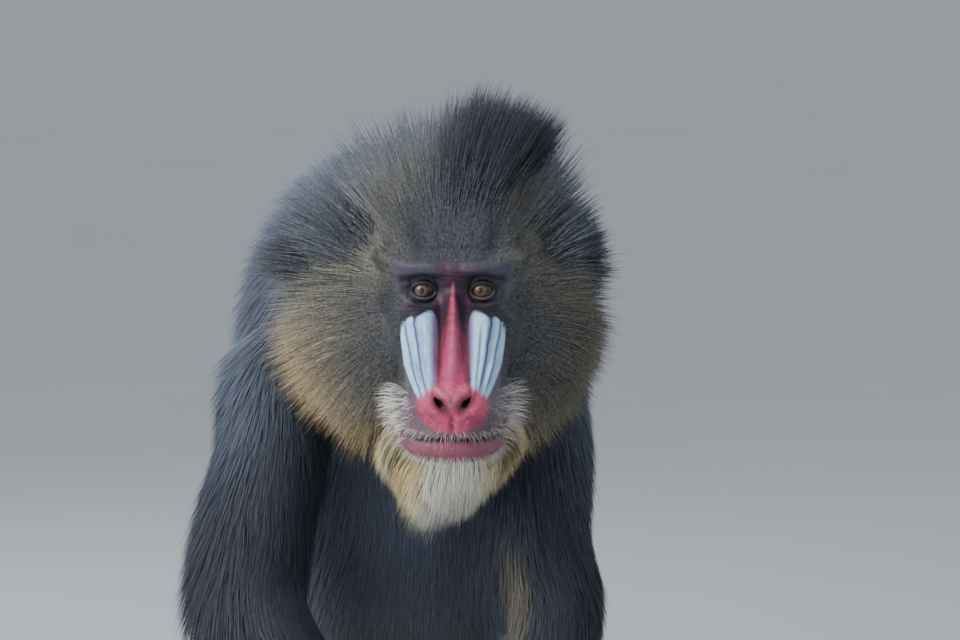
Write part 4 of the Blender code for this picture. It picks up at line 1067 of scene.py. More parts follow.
def eyeObject(side):
    # a ball whose radius grows over the iris, turned to the gaze
    grid = ballGrid((0, 0, 0), (1, 1, 1), 64, 72)
    # the ball's pole is its front: x, y, z of the ball become right, up and forward of the gaze
    flat, up, ahead = grid[..., 0], grid[..., 1], grid[..., 2]
    across = np.hypot(flat, up) * placing["eyeRadius"]
    swollen = (ahead > 0) * (1 - step(eye["iris"] * 0.2, eye["iris"] * 1.15, across))
    radius = placing["eyeRadius"] + eye["swelling"] * swollen
    local = np.stack([flat, -ahead, up], -1) * radius[..., None]
    points, faces = gridShape(local)
    turn = Matrix.Rotation(eye["gaze"][0], 3, "Z") @ Matrix.Rotation(eye["gaze"][1], 3, "X")
    iris = points[:, [0, 2]].copy()
    behind = points[:, 1] > 0
    iris[behind] = unit(np.append(iris[behind], np.zeros((behind.sum(), 1)), 1))[:, :2] * 0.02
    points = points @ np.array(turn).T + eyePlace(side)
    made = outwards(objectFrom("eye" + ("Left" if side > 0 else "Right"), headToWorld(points), faces))
    layer = made.data.uv_layers.new(name="irisMap")
    loops = np.empty(len(made.data.loops), np.int32)
    made.data.loops.foreach_get("vertex_index", loops)
    place = iris[loops] / eye["mapWidth"] + 0.5
    layer.data.foreach_set("uv", np.ascontiguousarray(place, np.float32).ravel())
    return made


def eyeMaterial():
    # rings round the pupil by the distance on the eye's own map, times rays by the direction
    pupil, iris = eye["pupil"] / eye["mapWidth"], eye["iris"] / eye["mapWidth"]
    return material(
        "eyeball",
        {"Roughness": 0.30, "Coat Weight": 0.45, "Coat Roughness": 0.03},
        {
            "where": ("UVMap", (-1500, 0), {}, {"uv_map": "irisMap"}),
            "centred": ("VectorMath", (-1300, 0), {1: (0.5, 0.5, 0.0)}, {"operation": "SUBTRACT"}),
            "away": ("VectorMath", (-1100, 100), {}, {"operation": "LENGTH"}),
            "direction": ("VectorMath", (-1100, -200), {}, {"operation": "NORMALIZE"}),
            "rays": ("TexNoise", (-900, -250), {"Scale": 9.0, "Detail": 3.0}, {}),
            "rings": ("ValToRGB", (-800, 100), {}, {"stops": (
                (0.0, (0.002, 0.002, 0.002)),
                (pupil * 0.94, (0.002, 0.002, 0.002)),
                (pupil * 1.06, (0.120, 0.062, 0.032)),
                (iris * 0.60, (0.175, 0.095, 0.050)),
                (iris * 0.86, (0.090, 0.048, 0.027)),
                (iris * 1.00, (0.018, 0.009, 0.006)),
                (iris * 1.16, (0.030, 0.020, 0.018)),
                (iris * 1.75, (0.045, 0.030, 0.028)),
            )}),
            "shade": ("MapRange", (-650, -250), rangeTo(0.55, 1.45, 0.3, 0.7), {}),
            "product": ("VectorMath", (-450, 50), {}, {"operation": "SCALE"}),
        },
        ("where.UV > centred.0", "centred.Vector > away.0", "centred.Vector > direction.0",
         "direction.Vector > rays.Vector", "away.Value > rings.Fac", "rays.Fac > shade.Value",
         "rings.Color > product.0", "shade.Result > product.Scale", "product.Vector > shader.Base Color"),
    )


eyeball = eyeMaterial()
for side, node in ((1, "eye_left"), (-1, "eye_right")):
    made = eyeObject(side)
    giveMaterial(made, eyeball)
    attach(made, "root")
    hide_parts(node)
report("eyes set")


def streaked(name, roughness, scale, detail, dark, light):
    # a noise on Object coordinates between two colours
    return material(
        name,
        {"Roughness": roughness},
        {
            "where": ("TexCoord", (-900, 0), {}, {}),
            "streaks": ("TexNoise", (-700, 0), {"Scale": scale, "Detail": detail}, {}),
            "ramp": ("ValToRGB", (-450, 0), {}, {"stops": ((0.0, dark), (1.0, light))}),
        },
        ("where.Object > streaks.Vector", "streaks.Fac > ramp.Fac", "ramp.Color > shader.Base Color"),
    )


nailHorn = streaked("nailHorn", 0.32, 260.0, 2.0, (0.030, 0.024, 0.022), (0.105, 0.085, 0.075))
for side, tag in ((1, "Left"), (-1, "Right")):
    for which, shape in (("hand", hand), ("foot", foot)):
        made = None
        for row in shape["digits"]:
            points, faces = nail(row, shape["height"], side, limbOrigin(side, which))
            one = outwards(objectFrom(which + "Nails" + tag, points, faces))
            made = one if made is None else joined(made, [one])
        giveMaterial(made, nailHorn)
        made.data.shade_smooth()
        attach(made, "root")
report("nails set")


# The coat: solid tufts that are a bent, tapering three-sided blade each. Guide lines for the lie of the coat run
# from the head to the rump, and from the trunk out along each limb.
def guideLine(stations, more=(), backwards=False):
    # places along a limb's curve and on through more, with the limb's radius and the heading at each
    line = curveThrough([tuple(row[:5]) for row in stations], 110)
    path, radius = line[:, :3] + modelShift, line[:, 3:5].mean(1)
    if len(more):
        path = np.vstack([path, np.array(more)])
        radius = np.concatenate([radius, np.full(len(more), radius[-1])])
    if backwards:
        path, radius = path[::-1], radius[::-1]
    return path, radius, unit(np.gradient(path, axis=0))


def limbGuides():
    # the trunk, both arms on over the palm, both legs on over the sole, the tail
    lines = [guideLine(trunkStations(), backwards=True)]
    for side in (1, -1):
        base = limbOrigin(side, "hand")
        palm = [base + np.array([0, -d, z]) for d, z in ((0.03, 0.024), (0.05, 0.018), (0.07, 0.014), (0.10, 0.010))]
        lines.append(guideLine(armStations(side)[:8], palm))
    for side in (1, -1):
        base = limbOrigin(side, "foot")
        sole = [base + np.array([0, -d, z]) for d, z in ((0.00, 0.030), (0.03, 0.022), (0.07, 0.018), (0.12, 0.012))]
        lines.append(guideLine(legStations(side)[:7], sole))
    return [*lines, guideLine(body["tail"])]


guides = limbGuides()
trunkGuide, armGuides, legGuides, tailGuide = 0, (1, 2), (3, 4), 5


def along(points, guide):
    # for each point: its distance from the line over the radius there, how far along it lies, and the line's heading
    path, radius, tangent = guide
    near = np.empty(len(points))
    index = np.empty(len(points), int)
    for first in range(0, len(points), 20000):
        part = slice(first, first + 20000)
        away = np.linalg.norm(points[part, None, :] - path[None], axis=-1) / radius[None]
        index[part] = away.argmin(1)
        near[part] = away[np.arange(len(away)), index[part]]
    return near, index / (len(path) - 1), tangent[index], path[index]


def bodyField(points):
    # heading of the coat: the guide lines' headings, weighted by 1 / (distance over radius) to the 8th power
    rows = [along(points, guide) for guide in guides]
    near = np.stack([row[0] for row in rows], -1)
    near[:, tailGuide] += 0.15
    share = (1 / np.maximum(near, 0.3)) ** 8
    share /= share.sum(1, keepdims=True)
    heading = sum(share[:, k, None] * rows[k][2] for k in range(len(rows)))
    which = near.argmin(1)
    index = np.stack([row[1] for row in rows], -1)
    return which, share, index, unit(heading)


def onHead(points):
    # in front of the nape, within a ball round the head and above the beard's end
    p = worldToHead(points)
    away = np.linalg.norm(p - np.array([0.0, 0.030, -0.040]), axis=1)
    return (p[:, 1] < 0.100) & (away < 0.165) & (p[:, 2] > -0.165)


# What the scatter works on: the skin's triangles, their middles and normals
def skinTriangles():
    # half the cross product of two sides gives each triangle's area
    mesh = skin.data
    mesh.calc_loop_triangles()
    corners = np.empty(len(mesh.loop_triangles) * 3, np.int32)
    mesh.loop_triangles.foreach_get("vertices", corners)
    corners = corners.reshape(-1, 3)
    points, normals = pointsOf(skin), normalsOf(skin)
    a, b, c = (points[corners[:, k]] for k in range(3))
    area = np.linalg.norm(np.cross(b - a, c - a), axis=1) / 2
    return {"corners": corners, "points": points, "normals": normals, "area": area, "middle": (a + b + c) / 3,
            "facing": unit(normals[corners].sum(1))}


ground = skinTriangles()
ground["head"] = onHead(ground["middle"])
ground["which"] = bodyField(ground["middle"])[0]
report("lie of the coat worked out")


def scatter(density, count, draw):
    # even steps through the running total of area times density pick the triangles, so roots spread evenly
    weight = ground["area"] * density
    total = np.cumsum(weight)
    pick = np.searchsorted(total, (np.arange(count) + draw.random(count)) / count * total[-1])
    pick = np.minimum(pick, len(total) - 1)
    u, v = draw.random(count), draw.random(count)
    flip = u + v > 1
    u[flip], v[flip] = 1 - u[flip], 1 - v[flip]
    corner = ground["corners"][pick]
    share = np.stack([1 - u - v, u, v], -1)[..., None]
    return (ground["points"][corner] * share).sum(1), unit((ground["normals"][corner] * share).sum(1))


def clumped(roots, tips, size, pull, draw):
    # tips lean towards the tip of the nearest guide tuft, so that hair gathers in locks of that size
    if pull <= 0 or len(roots) < 50:
        return tips
    stride = max(1, int(len(roots) / max(20, clumpCount(roots, size))))
    chosen = draw.permutation(len(roots))[: len(range(0, len(roots), stride))]
    nearest = np.empty(len(roots), int)
    guideRoots = roots[chosen].astype(np.float32)
    square = (guideRoots**2).sum(1)
    for first in range(0, len(roots), 4000):
        part = roots[first:first + 4000].astype(np.float32)
        nearest[first:first + 4000] = (square[None] - 2 * part @ guideRoots.T).argmin(1)
    goal = tips[chosen][nearest] + (roots - roots[chosen][nearest]) * 0.25
    return tips + (goal - tips) * (pull * draw.uniform(0.5, 1.0, len(roots)))[:, None]


def clumpCount(roots, size):
    # 1.6 locks for each square of that size in the roots' two longest spans
    low, high = np.percentile(roots, [2, 98], axis=0)
    span = np.sort(high - low)
    return int(1.6 * span[2] * span[1] / size**2)


# One tuft, which sinks into the skin at its root and follows the skin's shading
tuftShape = {
    "rings": {1: ((0.0,), (1.0,)), 2: ((0.0, 0.50), (0.90, 0.85))},    # places along it, share of the width there
    "sink": 0.0015,
    "thick": 0.40,          # share of the width
    "softness": 0.80,       # share of the skin's normal in its shading
    "roundness": 0.30,      # how far the shading of its edges leans outwards
    "spin": 0.45,           # turn about its own line, in radians
    "tipFloor": 0.0015,     # lowest place of a tip over the floor
    "floor": 0.0006,
    "patch": 0.003,         # side of its patch on the unwrap
    "bands": 0.05,          # how much its light and dark bands differ
    "strands": 2.6,         # strands across it
    "strandRate": 60,       # strand noise along a metre of it
}
triangleTotal = 0


def tufts(name, roots, normals, leave, end, length, width, shades, unwrap, draw, rings=2, clump=(0.010, 0.0),
          finish=coat):
    # each tuft follows a quadratic curve from its root through a middle point on the leaving direction to its
    # tip on the ending direction; its section is a flat triangle that tapers to a point
    global triangleTotal
    count = len(roots)
    leave, end = unit(leave), unit(end)
    start = roots - normals * tuftShape["sink"]
    middle = roots + leave * (length * 0.5)[:, None]
    tip = middle + end * (length * 0.5)[:, None]
    tip = clumped(roots, tip, clump[0], clump[1], draw)
    tip[:, 2] = np.maximum(tip[:, 2], tuftShape["tipFloor"])
    middle[:, 2] = np.maximum(middle[:, 2], tuftShape["tipFloor"])
    spin = draw.normal(0, tuftShape["spin"], count)
    across = unit(np.cross(tip - start, normals))
    facing = unit(np.cross(across, unit(tip - start)))
    c, s = np.cos(spin)[:, None], np.sin(spin)[:, None]
    across, facing = across * c + facing * s, facing * c - across * s
    shares, widths = tuftShape["rings"][rings]
    perTuft = rings * 3 + 1
    points = np.empty((count, perTuft, 3))
    shading = np.empty((count, perTuft, 3))
    soft = unit(normals * tuftShape["softness"] + facing * (1 - tuftShape["softness"]))
    for k, (share, wide) in enumerate(zip(shares, widths)):
        spine = start * (1 - share) ** 2 + middle * 2 * share * (1 - share) + tip * share**2
        half = (width * wide / 2)[:, None]
        points[:, 3 * k] = spine + across * half - facing * half * tuftShape["thick"] * 0.5
        points[:, 3 * k + 1] = spine - across * half - facing * half * tuftShape["thick"] * 0.5
        points[:, 3 * k + 2] = spine + facing * half * tuftShape["thick"]
        shading[:, 3 * k] = soft + across * tuftShape["roundness"]
        shading[:, 3 * k + 1] = soft - across * tuftShape["roundness"]
        shading[:, 3 * k + 2] = soft
    points[:, -1] = tip
    shading[:, -1] = soft
    points[..., 2] = np.maximum(points[..., 2], tuftShape["floor"])
    quads = [
        (3 * k + a, 3 * k + b, 3 * k + 3 + b, 3 * k + 3 + a)
        for k in range(rings - 1)
        for a, b in ((0, 1), (1, 2), (2, 0))
    ]
    last = 3 * (rings - 1)
    peaks = [(last + a, last + b, last + 3) for a, b in ((0, 1), (1, 2), (2, 0))] + [(2, 1, 0)]
    base = (np.arange(count) * perTuft)[:, None, None]
    peakFaces = (np.array(peaks)[None] + base).reshape(-1, 3)
    faces = [peakFaces]
    if quads:
        faces = [(np.array(quads)[None] + base).reshape(-1, 4), peakFaces]
    made = objectFrom(name, points.reshape(-1, 3), faces)
    made.data.normals_split_custom_set_from_vertices(unit(shading.reshape(-1, 3)))
    # colour from root to tip, with the light and dark bands of the hairs
    rootTone, tipTone = shades
    band = 1 + draw.normal(0, tuftShape["bands"], (count, rings + 1))
    colours = np.empty((count, perTuft, 3))
    for k, share in enumerate((*shares, 1.0)):
        value = (rootTone + (tipTone - rootTone) * share**0.8) * band[:, k, None]
        colours[:, 3 * k:3 * k + 3] = value[:, None]
    setColours(made, "coatTone", np.clip(colours, 0.002, 1).reshape(-1, 3))
    # each tuft is a small patch at its root's place on the unwrap
    patch = tuftShape["patch"]
    local = np.array([[(j - 1) * 0.5 * patch, (share - 0.5) * patch] for share in shares for j in (0, 2, 1)]
                     + [[0.0, 0.5 * patch]])
    place = unwrap[:, None, :] * 0.96 + 0.02 + local[None]
    # a second map carries the strands: across the tuft, and along it by its length
    side = np.array([j for _ in shares for j in (1.0, 0.0, 0.5)] + [0.5]) * tuftShape["strands"]
    strand = np.empty((count, perTuft, 2))
    strand[..., 0] = side[None] + (draw.random(count) * 400)[:, None]
    lengthwise = np.array([share for share in shares for _ in range(3)] + [1.0])
    strand[..., 1] = lengthwise[None] * (length * tuftShape["strandRate"])[:, None]
    loops = np.concatenate([f.ravel() for f in faces])
    for layerName, values in (("OFBake", place), ("strands", strand)):
        layer = made.data.uv_layers.new(name=layerName)
        layer.data.foreach_set("uv", np.ascontiguousarray(values.reshape(-1, 2)[loops], np.float32).ravel())
    giveMaterial(made, finish)
    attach(made, "root")
    triangles = count * (6 * (rings - 1) + 4)
    triangleTotal += triangles
    print("          %-18s %7d tufts %8d triangles" % (name, count, triangles))
    return made


def headUnwrap(p):
    # round the head and from its front to its back
    centre = p - np.array([0, 0.045, -0.030])
    turn = np.arctan2(centre[:, 0], centre[:, 2])
    away = np.arccos(np.clip(-unit(centre)[:, 1], -1, 1))
    return np.stack([turn / (2 * math.pi) + 0.5, away / math.pi], -1)


def bodyUnwrap(points, guide):
    # round the guide line and along it
    index, tangent, centre = along(points, guides[guide])[1:]
    out = points - centre
    side = unit(np.array([1.0, 0, 0]) - tangent * tangent[:, :1])
    turn = np.arctan2((out * side).sum(1), (out * np.cross(tangent, side)).sum(1))
    return np.stack([turn / (2 * math.pi) + 0.5, index], -1)


def speckled(tone, draw, spread=0.35, warm=0.0):
    # every tuft a little lighter, darker or yellower than its neighbours
    count = len(tone)
    light = np.exp(draw.normal(0, spread, count))[:, None]
    tint = draw.random(count)[:, None] * warm
    return np.clip(tone * light * (1 + tint * np.array([0.55, 0.30, -0.25])), 0.002, 1)


furTones = {
    "crest": (0.022, 0.027, 0.042),
    "crestTip": (0.040, 0.049, 0.074),
    "forehead": (0.095, 0.104, 0.150),
    "cheek": (0.050, 0.055, 0.070),
    "cheekTip": (0.092, 0.100, 0.122),
    "olive": (0.220, 0.218, 0.182),
    "crownOlive": (0.124, 0.131, 0.138),
    "crown": (0.082, 0.108, 0.172),
    "gold": (0.520, 0.400, 0.235),
    "ruffRoot": (0.050, 0.052, 0.060),
    "ruffDark": (0.070, 0.080, 0.110),
    "white": (0.800, 0.785, 0.760),
    "cream": (0.960, 0.840, 0.580),
    "orange": (0.930, 0.680, 0.360),
    "arm": (0.034, 0.040, 0.056),
    "armTip": (0.060, 0.070, 0.098),
    "back": (0.062, 0.072, 0.098),
    # a blue-grey, partly the coat's own and partly painted sheen
    "humpGreyAndSheen": (0.150, 0.185, 0.262),
    "lowBack": (0.090, 0.092, 0.100),
    "chest": (0.125, 0.145, 0.200),
    "belly": (0.230, 0.215, 0.190),
    "leg": (0.065, 0.069, 0.081),
    "legTip": (0.115, 0.120, 0.136),
}


def fur(name):
    return np.array(furTones[name])


# Coat of the head, in the head's frame. The reach is how far the tips stand from a middle point at height
# centre, by the angle over the horizontal, on the animal's right (x below 0) and left.
headCoat = {
    "centre": -0.020,
    "angles": (-90, -68, -37, -8, 10, 27, 43, 60, 90),
    "rightReach": (0.142, 0.156, 0.158, 0.158, 0.158, 0.158, 0.160, 0.158, 0.160),
    "leftReach": (0.140, 0.142, 0.140, 0.134, 0.125, 0.130, 0.147, 0.172, 0.174),
    "fan": (-26, -24, -12, -2, 0, 0, 2, 2, 0),
    "rootShare": 0.40,      # how far the roots take the tone of the tips
    "crestLean": 0.10,
    "crestFan": 15.0,       # how much further the crest leans for each metre from its right edge
    "crestLength": (0.020, 0.055, 0.105, 0.128, 0.125, 0.111, 0.088),
    "leastLift": 0.22,      # share of the normal that the leaving direction keeps
    "wander": (0.14, 0.0, 0.10),
    "wanderSize": 0.022,
    "lengths": (0.76, 1.06),
    "widths": (0.7, 1.25),
}


def bareFace(p):
    # 1 where the face is bare: round the eyes and the brow, down the muzzle and the lips
    x, y, z = p[:, 0], p[:, 1], p[:, 2]
    wide = np.abs(x) + 0.0014 * softNoise(p, 0.006, 51)
    widest = np.interp(z, [-0.035, -0.012, 0.004, 0.014, 0.020], [0.0370, 0.0385, 0.0410, 0.0465, 0.0480])
    eyes = (1 - step(widest - 0.004, widest + 0.005, wide)) * step(-0.044, -0.034, z)
    eyes = eyes * (1 - step(0.0210, 0.0280, z + 0.0026 * softNoise(p, 0.004, 52))) * (y < 0.040)
    edge = np.interp(-z, [0.0, 0.012, 0.024, 0.040, 0.055, 0.070, 0.085, 0.120],
                     [0.038, 0.036, 0.0415, 0.0425, 0.0408, 0.0405, 0.0425, 0.0455])
    behind = y - frontLine(z)
    deepest = np.interp(-z, [0.020, 0.060, 0.080, 0.110], [0.044, 0.046, 0.050, 0.048])
    muzzle = (1 - step(edge - 0.001, edge + 0.003, wide)) * (1 - step(deepest, deepest + 0.006, behind)) * (z < -0.012)
    over = mouthHeight(x, y, z)
    chin = step(-0.0210, -0.0160, over + 0.0026 * softNoise(p, 0.004, 59)) * (1 - step(-0.050, -0.040, y))
    jawSide = step(-0.004, 0.006, over)
    muzzle = muzzle * np.maximum(chin, jawSide)
    return np.clip(np.maximum(eyes, muzzle), 0, 1)


def headParts(p):
    # the angle over the horizontal, and how far a place belongs to the crest, the crown and the forehead
    x, y, z = p[:, 0], p[:, 1], p[:, 2]
    degrees = np.degrees(np.arctan2(z - headCoat["centre"], np.abs(x)))
    right = np.interp(z, [0.035, 0.060], [0.022, 0.032])
    band = step(-0.016, -0.005, x) * (1 - step(right - 0.005, right + 0.007, x))
    crest = band * step(0.034, 0.047, z)
    crown = step(6, 58, degrees) * (1 - crest)
    forehead = (1 - step(0.010, 0.040, y)) * step(0.014, 0.022, z) * (1 - step(0.050, 0.062, np.abs(x)))
    return degrees, crest, crown, forehead


def headFields(p):
    # the ruff's tufts leave away from the middle of the face and end backwards and down, the crown's backwards;
    # crest and forehead are blended in over them
    x, y, z = p[:, 0], p[:, 1], p[:, 2]
    sign = np.where(x > 0, 1.0, -1.0)
    degrees, crest, crown, forehead = headParts(p)
    turn = np.radians(degrees + np.interp(degrees, headCoat["angles"], headCoat["fan"]))
    radial = np.stack([sign * np.cos(turn), 0 * x, np.sin(turn)], -1)
    leaveBack = np.interp(y, [0.0, 0.026, 0.051, 0.079, 0.12], [0.12, 0.22, 0.50, 0.90, 1.6])
    endBack = np.interp(y, [0.0, 0.026, 0.051, 0.079, 0.12], [0.70, 0.90, 1.10, 1.60, 2.6])
    leave = unit(radial + np.stack([0 * x, leaveBack, 0.03 + 0 * x], -1))
    end = unit(radial + np.stack([0 * x, endBack * (1 - 0.35 * crown), -0.50 * (1 - crown) + 0.05 * crown], -1))
    # long enough to bring the tip to the outline of the ruff, less in the front layers
    facing = 0.5 * (degrees + np.degrees(turn))
    reach = np.where(
        x > 0,
        np.interp(facing, headCoat["angles"], headCoat["leftReach"]),
        np.interp(facing, headCoat["angles"], headCoat["rightReach"]),
    )
    # the way along the heading to a circle of that radius, over the heading's share in the face's plane
    inward = np.abs(x) * np.cos(turn) + (z - headCoat["centre"]) * np.sin(turn)
    missing = np.sqrt(np.maximum(inward**2 + reach**2 - x**2 - (z - headCoat["centre"]) ** 2, 1e-6)) - inward
    spread = np.maximum(((leave + end) / 2 * radial).sum(1), 0.42)
    cap = np.interp(y, [-0.010, 0.006, 0.018, 0.030, 0.045, 0.060], [0.009, 0.014, 0.022, 0.044, 0.084, 0.130])
    length = np.clip(missing / spread * np.interp(y, [0.020, 0.045, 0.065], [0.76, 0.90, 1.04]), 0.010, cap)
    # shorter next to the bare skin
    edge = np.abs(x) - np.interp(-z, [-0.020, 0.0, 0.012, 0.040, 0.080], [0.047, 0.044, 0.043, 0.045, 0.046])
    nearBare = (1 - step(0.001, 0.020, edge)) * (y < 0.050) * (z < 0.030)
    length = length * (1 - 0.55 * nearBare)
    # crest: up from the brow and back to the nape, fanning towards the animal's left
    rows = [0.0, 0.010, 0.032, 0.056, 0.082, 0.106, 0.125]
    fan = np.maximum(x + 0.010, 0) * headCoat["crestFan"] * np.interp(y, [0.0, 0.030, 0.080], [0.25, 0.60, 1.45])
    lean = headCoat["crestLean"]
    crestLeave = [lean + fan, np.interp(y, rows, [0.9, 0.75, 0.30, 0.22, 0.35, 0.60, 0.9]), 1 + 0 * x]
    crestEnd = [lean * 1.6 + fan * 1.25, np.interp(y, rows, [0.9, 0.50, 0.42, 0.60, 1.0, 1.6, 2.2]), 1 + 0 * x]
    leave = blend(leave, unit(np.stack(crestLeave, -1)), crest)
    end = blend(end, unit(np.stack(crestEnd, -1)), crest)
    length = length * (1 - crest) + np.interp(y, rows, headCoat["crestLength"]) * crest
    # short coat of the forehead, brushed up and back
    short = np.interp(z, [0.020, 0.030, 0.042, 0.052], [0.005, 0.010, 0.020, 0.046])
    length = length * (1 - forehead) + np.minimum(short, length) * forehead
    up = np.stack([x * 10, 0.55 + 0 * x, 1 + 0 * x], -1)
    return blend(leave, unit(up), 0.8 * forehead), end, length


def headMarkings(p, chance=0.5):
    # chance picks which hairs are white where white and grey ones mix
    x, y, z = p[:, 0], p[:, 1], p[:, 2]
    wide = np.abs(x)
    count = len(p)
    degrees, crest, _, forehead = headParts(p)
    root = np.tile(fur("ruffRoot"), (count, 1))
    # in layers from the face backwards: grey, speckled olive, a rim of gold below and of blue-grey above, dark
    ragged = softNoise(p, 0.014, 58)
    tip = np.tile(fur("olive"), (count, 1))
    tip = blend(tip, fur("crownOlive"), step(20, 62, degrees))
    nearFace = 1 - step(0.022, 0.050, y + 0.005 * ragged)
    tip = blend(tip, fur("cheekTip"), 0.92 * nearFace * (1 - 0.5 * step(10, 50, degrees)))
    # painted light and shade against the lamps: the front of the cheeks is lighter on the animal's left, which lies in
    # shade, and darker on its lit right
    tip = tip * (1 + 0.22 * nearFace * np.sign(x))[:, None]
    root = blend(root, fur("cheek"), nearFace)
    rim = step(0.034, 0.060, y + 0.004 * ragged)
    # the animal's left, which lies away from the key lamp: its gold rim is mostly left out there as painted shade
    shadedSide = step(0.020, 0.060, x)
    tip = blend(tip, fur("gold"), rim * (1 - step(-22, 12, degrees + 7 * ragged)) * (1 - 0.80 * shadedSide))
    tip = blend(tip, fur("crown"), step(0.042, 0.068, y + 0.004 * ragged) * step(-12, 40, degrees + 8 * ragged))
    root = blend(root, fur("crownOlive") * 0.9, step(8, 36, degrees + 6 * ragged) * (1 - step(0.070, 0.086, y)))
    # painted shade darkens the outer ruff on the animal's left, and painted light lifts the crown on that side
    inShade = step(0.045, 0.075, x) * step(0.026, 0.050, y) * (1 - step(5, 45, degrees))
    tip = tip * (1 - 0.46 * inShade + 0.40 * shadedSide * step(20, 60, degrees))[:, None]
    behind = step(0.068, 0.084, y)
    tip = blend(tip, fur("ruffDark"), 0.85 * behind)
    tip = blend(tip, fur("crestTip"), crest)
    root = blend(root, fur("crest"), crest)
    # a dark band over the middle of the brow that runs up into the crest, darkest along its two sides
    across = wide / np.interp(z, [0.020, 0.045], [0.029, 0.032])
    patch = forehead * (1 - step(0.80, 1.08, across))
    tip = blend(tip, fur("forehead"), 0.9 * patch)
    root = blend(root, fur("forehead") * 0.5, patch)
    sides = hill(across, 0.92, 0.20) * forehead * step(0.022, 0.034, z)
    tip = blend(tip, fur("crest"), 0.75 * sides)
    # white round the mouth, cream and orange further out and under it
    ragged = 0.25 * softNoise(p, 0.006, 53)
    pale = step(-0.060, -0.104, z) * (1 - step(-0.044, 0.004, y)) * (1 - 0.7 * step(0.046, 0.062, wide))
    pale = step(-0.10, 0.10, 0.66 * pale + 0.5 * ragged - chance) * 0.78 * step(0.02, 0.12, pale)
    warm = step(0.040, 0.052, wide) * step(-0.094, -0.118, z)
    mouthTone = blend(np.tile(fur("white") * 0.90, (count, 1)), fur("cream"), warm)
    mouthTone = blend(mouthTone, fur("orange"), 0.80 * step(-0.040, -0.006, y) * step(-0.088, -0.108, z))
    tip = blend(tip, mouthTone, pale)
    root = blend(root, mouthTone * 0.55, pale)
    under = step(-0.088, -0.106, z) * (1 - step(0.040, 0.056, y)) * (1 - pale)
    # the orange is painted 35% darker on the animal's left as shade
    warmth = fur("orange") * (1 - 0.35 * (x > 0))[:, None]
    tip = tip + (warmth - tip) * (0.80 * under)[:, None]
    root = root + (warmth * 0.45 - root) * (0.6 * under)[:, None]
    return root, tip


def headPiece(name, draw, count, where, width, rings=2, clump=(0.008, 0.35), jitter=0.12, slot="coat_olive",
              style=None, bare=1.0, speckle=0.13, finish=tickedCoat):
    # roots are scattered where the piece grows and the skin isn't bare, then turned, cut and tinted by their place
    count = int(count * byDetail(1.0))
    middle = worldToHead(ground["middle"])
    weight = np.where(ground["head"], 1.0, 0.0) * (1 - bareFace(middle) * bare) * where(middle)
    roots, normals = scatter(weight, count, draw)
    p, n = worldToHead(roots), turnZ(normals, -placing["headTurn"])
    leave, end, length = headFields(p)
    root, tip = headMarkings(p, draw.random(count))
    if style is not None:
        leave, end, length, root, tip = style(p, n)
    # hair can't grow into the skin: the leaving direction keeps a share of the normal
    inward = (unit(leave) * n).sum(1)
    leave = unit(leave) + n * np.maximum(headCoat["leastLift"] - inward, 0)[:, None]
    wander = softNoise(p, headCoat["wanderSize"], 21)[:, None] * np.array(headCoat["wander"])
    leave = leave + draw.normal(0, jitter, (count, 3)) * 0.6 + wander
    end = unit(end) + draw.normal(0, jitter, (count, 3)) + wander
    length = length * draw.uniform(*headCoat["lengths"], count)
    widths = width * draw.uniform(*headCoat["widths"], count)
    root = root + (tip - root) * headCoat["rootShare"]
    shades = speckled(root, draw, speckle * 0.7), speckled(tip, draw, speckle, 0.35)
    return tufts(
        name, roots, normals, turnZ(leave, placing["headTurn"]), turnZ(end, placing["headTurn"]), length, widths,
        shades, headUnwrap(p), draw, rings, clump=clump, finish=finish,
    )


def isCrest(p):
    # the crest's band from behind the brow backwards
    return (headParts(p)[1] > 0.30) * (p[:, 1] > 0.004)


def isEdge(p):
    # the front of the cheeks, the brow and the sides of the muzzle, down to the corners of the mouth
    return (p[:, 1] <= 0.022) * (mouthHeight(p[:, 0], p[:, 1], p[:, 2]) > -0.006) * (p[:, 2] > -0.108)


def onCrown(p):
    # the top of the head on both sides of the crest
    return ~isCrest(p) * (headParts(p)[0] > 24) * (p[:, 1] > 0.012)


def onRim(sign):
    # the back layers of the ruff on one side
    return lambda p: (headParts(p)[0] <= 30) * (p[:, 1] > 0.040) * (p[:, 0] * sign > 0)


def onFront(sign):
    # the front layers of the ruff on one side, up to the crest
    return lambda p: (
        ~isCrest(p) * (headParts(p)[0] <= 84) * (p[:, 1] > 0.012) * (p[:, 1] <= 0.044) * (p[:, 0] * sign > 0)
    )


# Pieces of the head's coat in the order they grow: tufts, where, width of a tuft, size and pull of its locks
ruffRim = {"count": 9500, "width": 0.0010, "clump": (0.008, 0.22)}
ruffFront = {"count": 33000, "width": 0.00085, "rings": 1, "clump": (0.007, 0.16)}
headPieces = {
    "crestCoat": {"count": 9500, "where": isCrest, "width": 0.0012, "clump": (0.010, 0.24), "slot": "coat_dark"},
    "crownCoat": {"count": 9500, "where": onCrown, "width": 0.0011, "clump": (0.008, 0.20)},
    "ruffRimLeft": {"where": onRim(1), **ruffRim},
    "ruffFrontLeft": {"where": onFront(1), **ruffFront},
    "ruffRimRight": {"where": onRim(-1), **ruffRim},
    "ruffFrontRight": {"where": onFront(-1), **ruffFront},
    "faceEdgeCoat": {"count": 41000, "where": isEdge, "width": 0.00052, "rings": 1, "clump": (0.004, 0.08),
                     "jitter": 0.17, "speckle": 0.24},
}


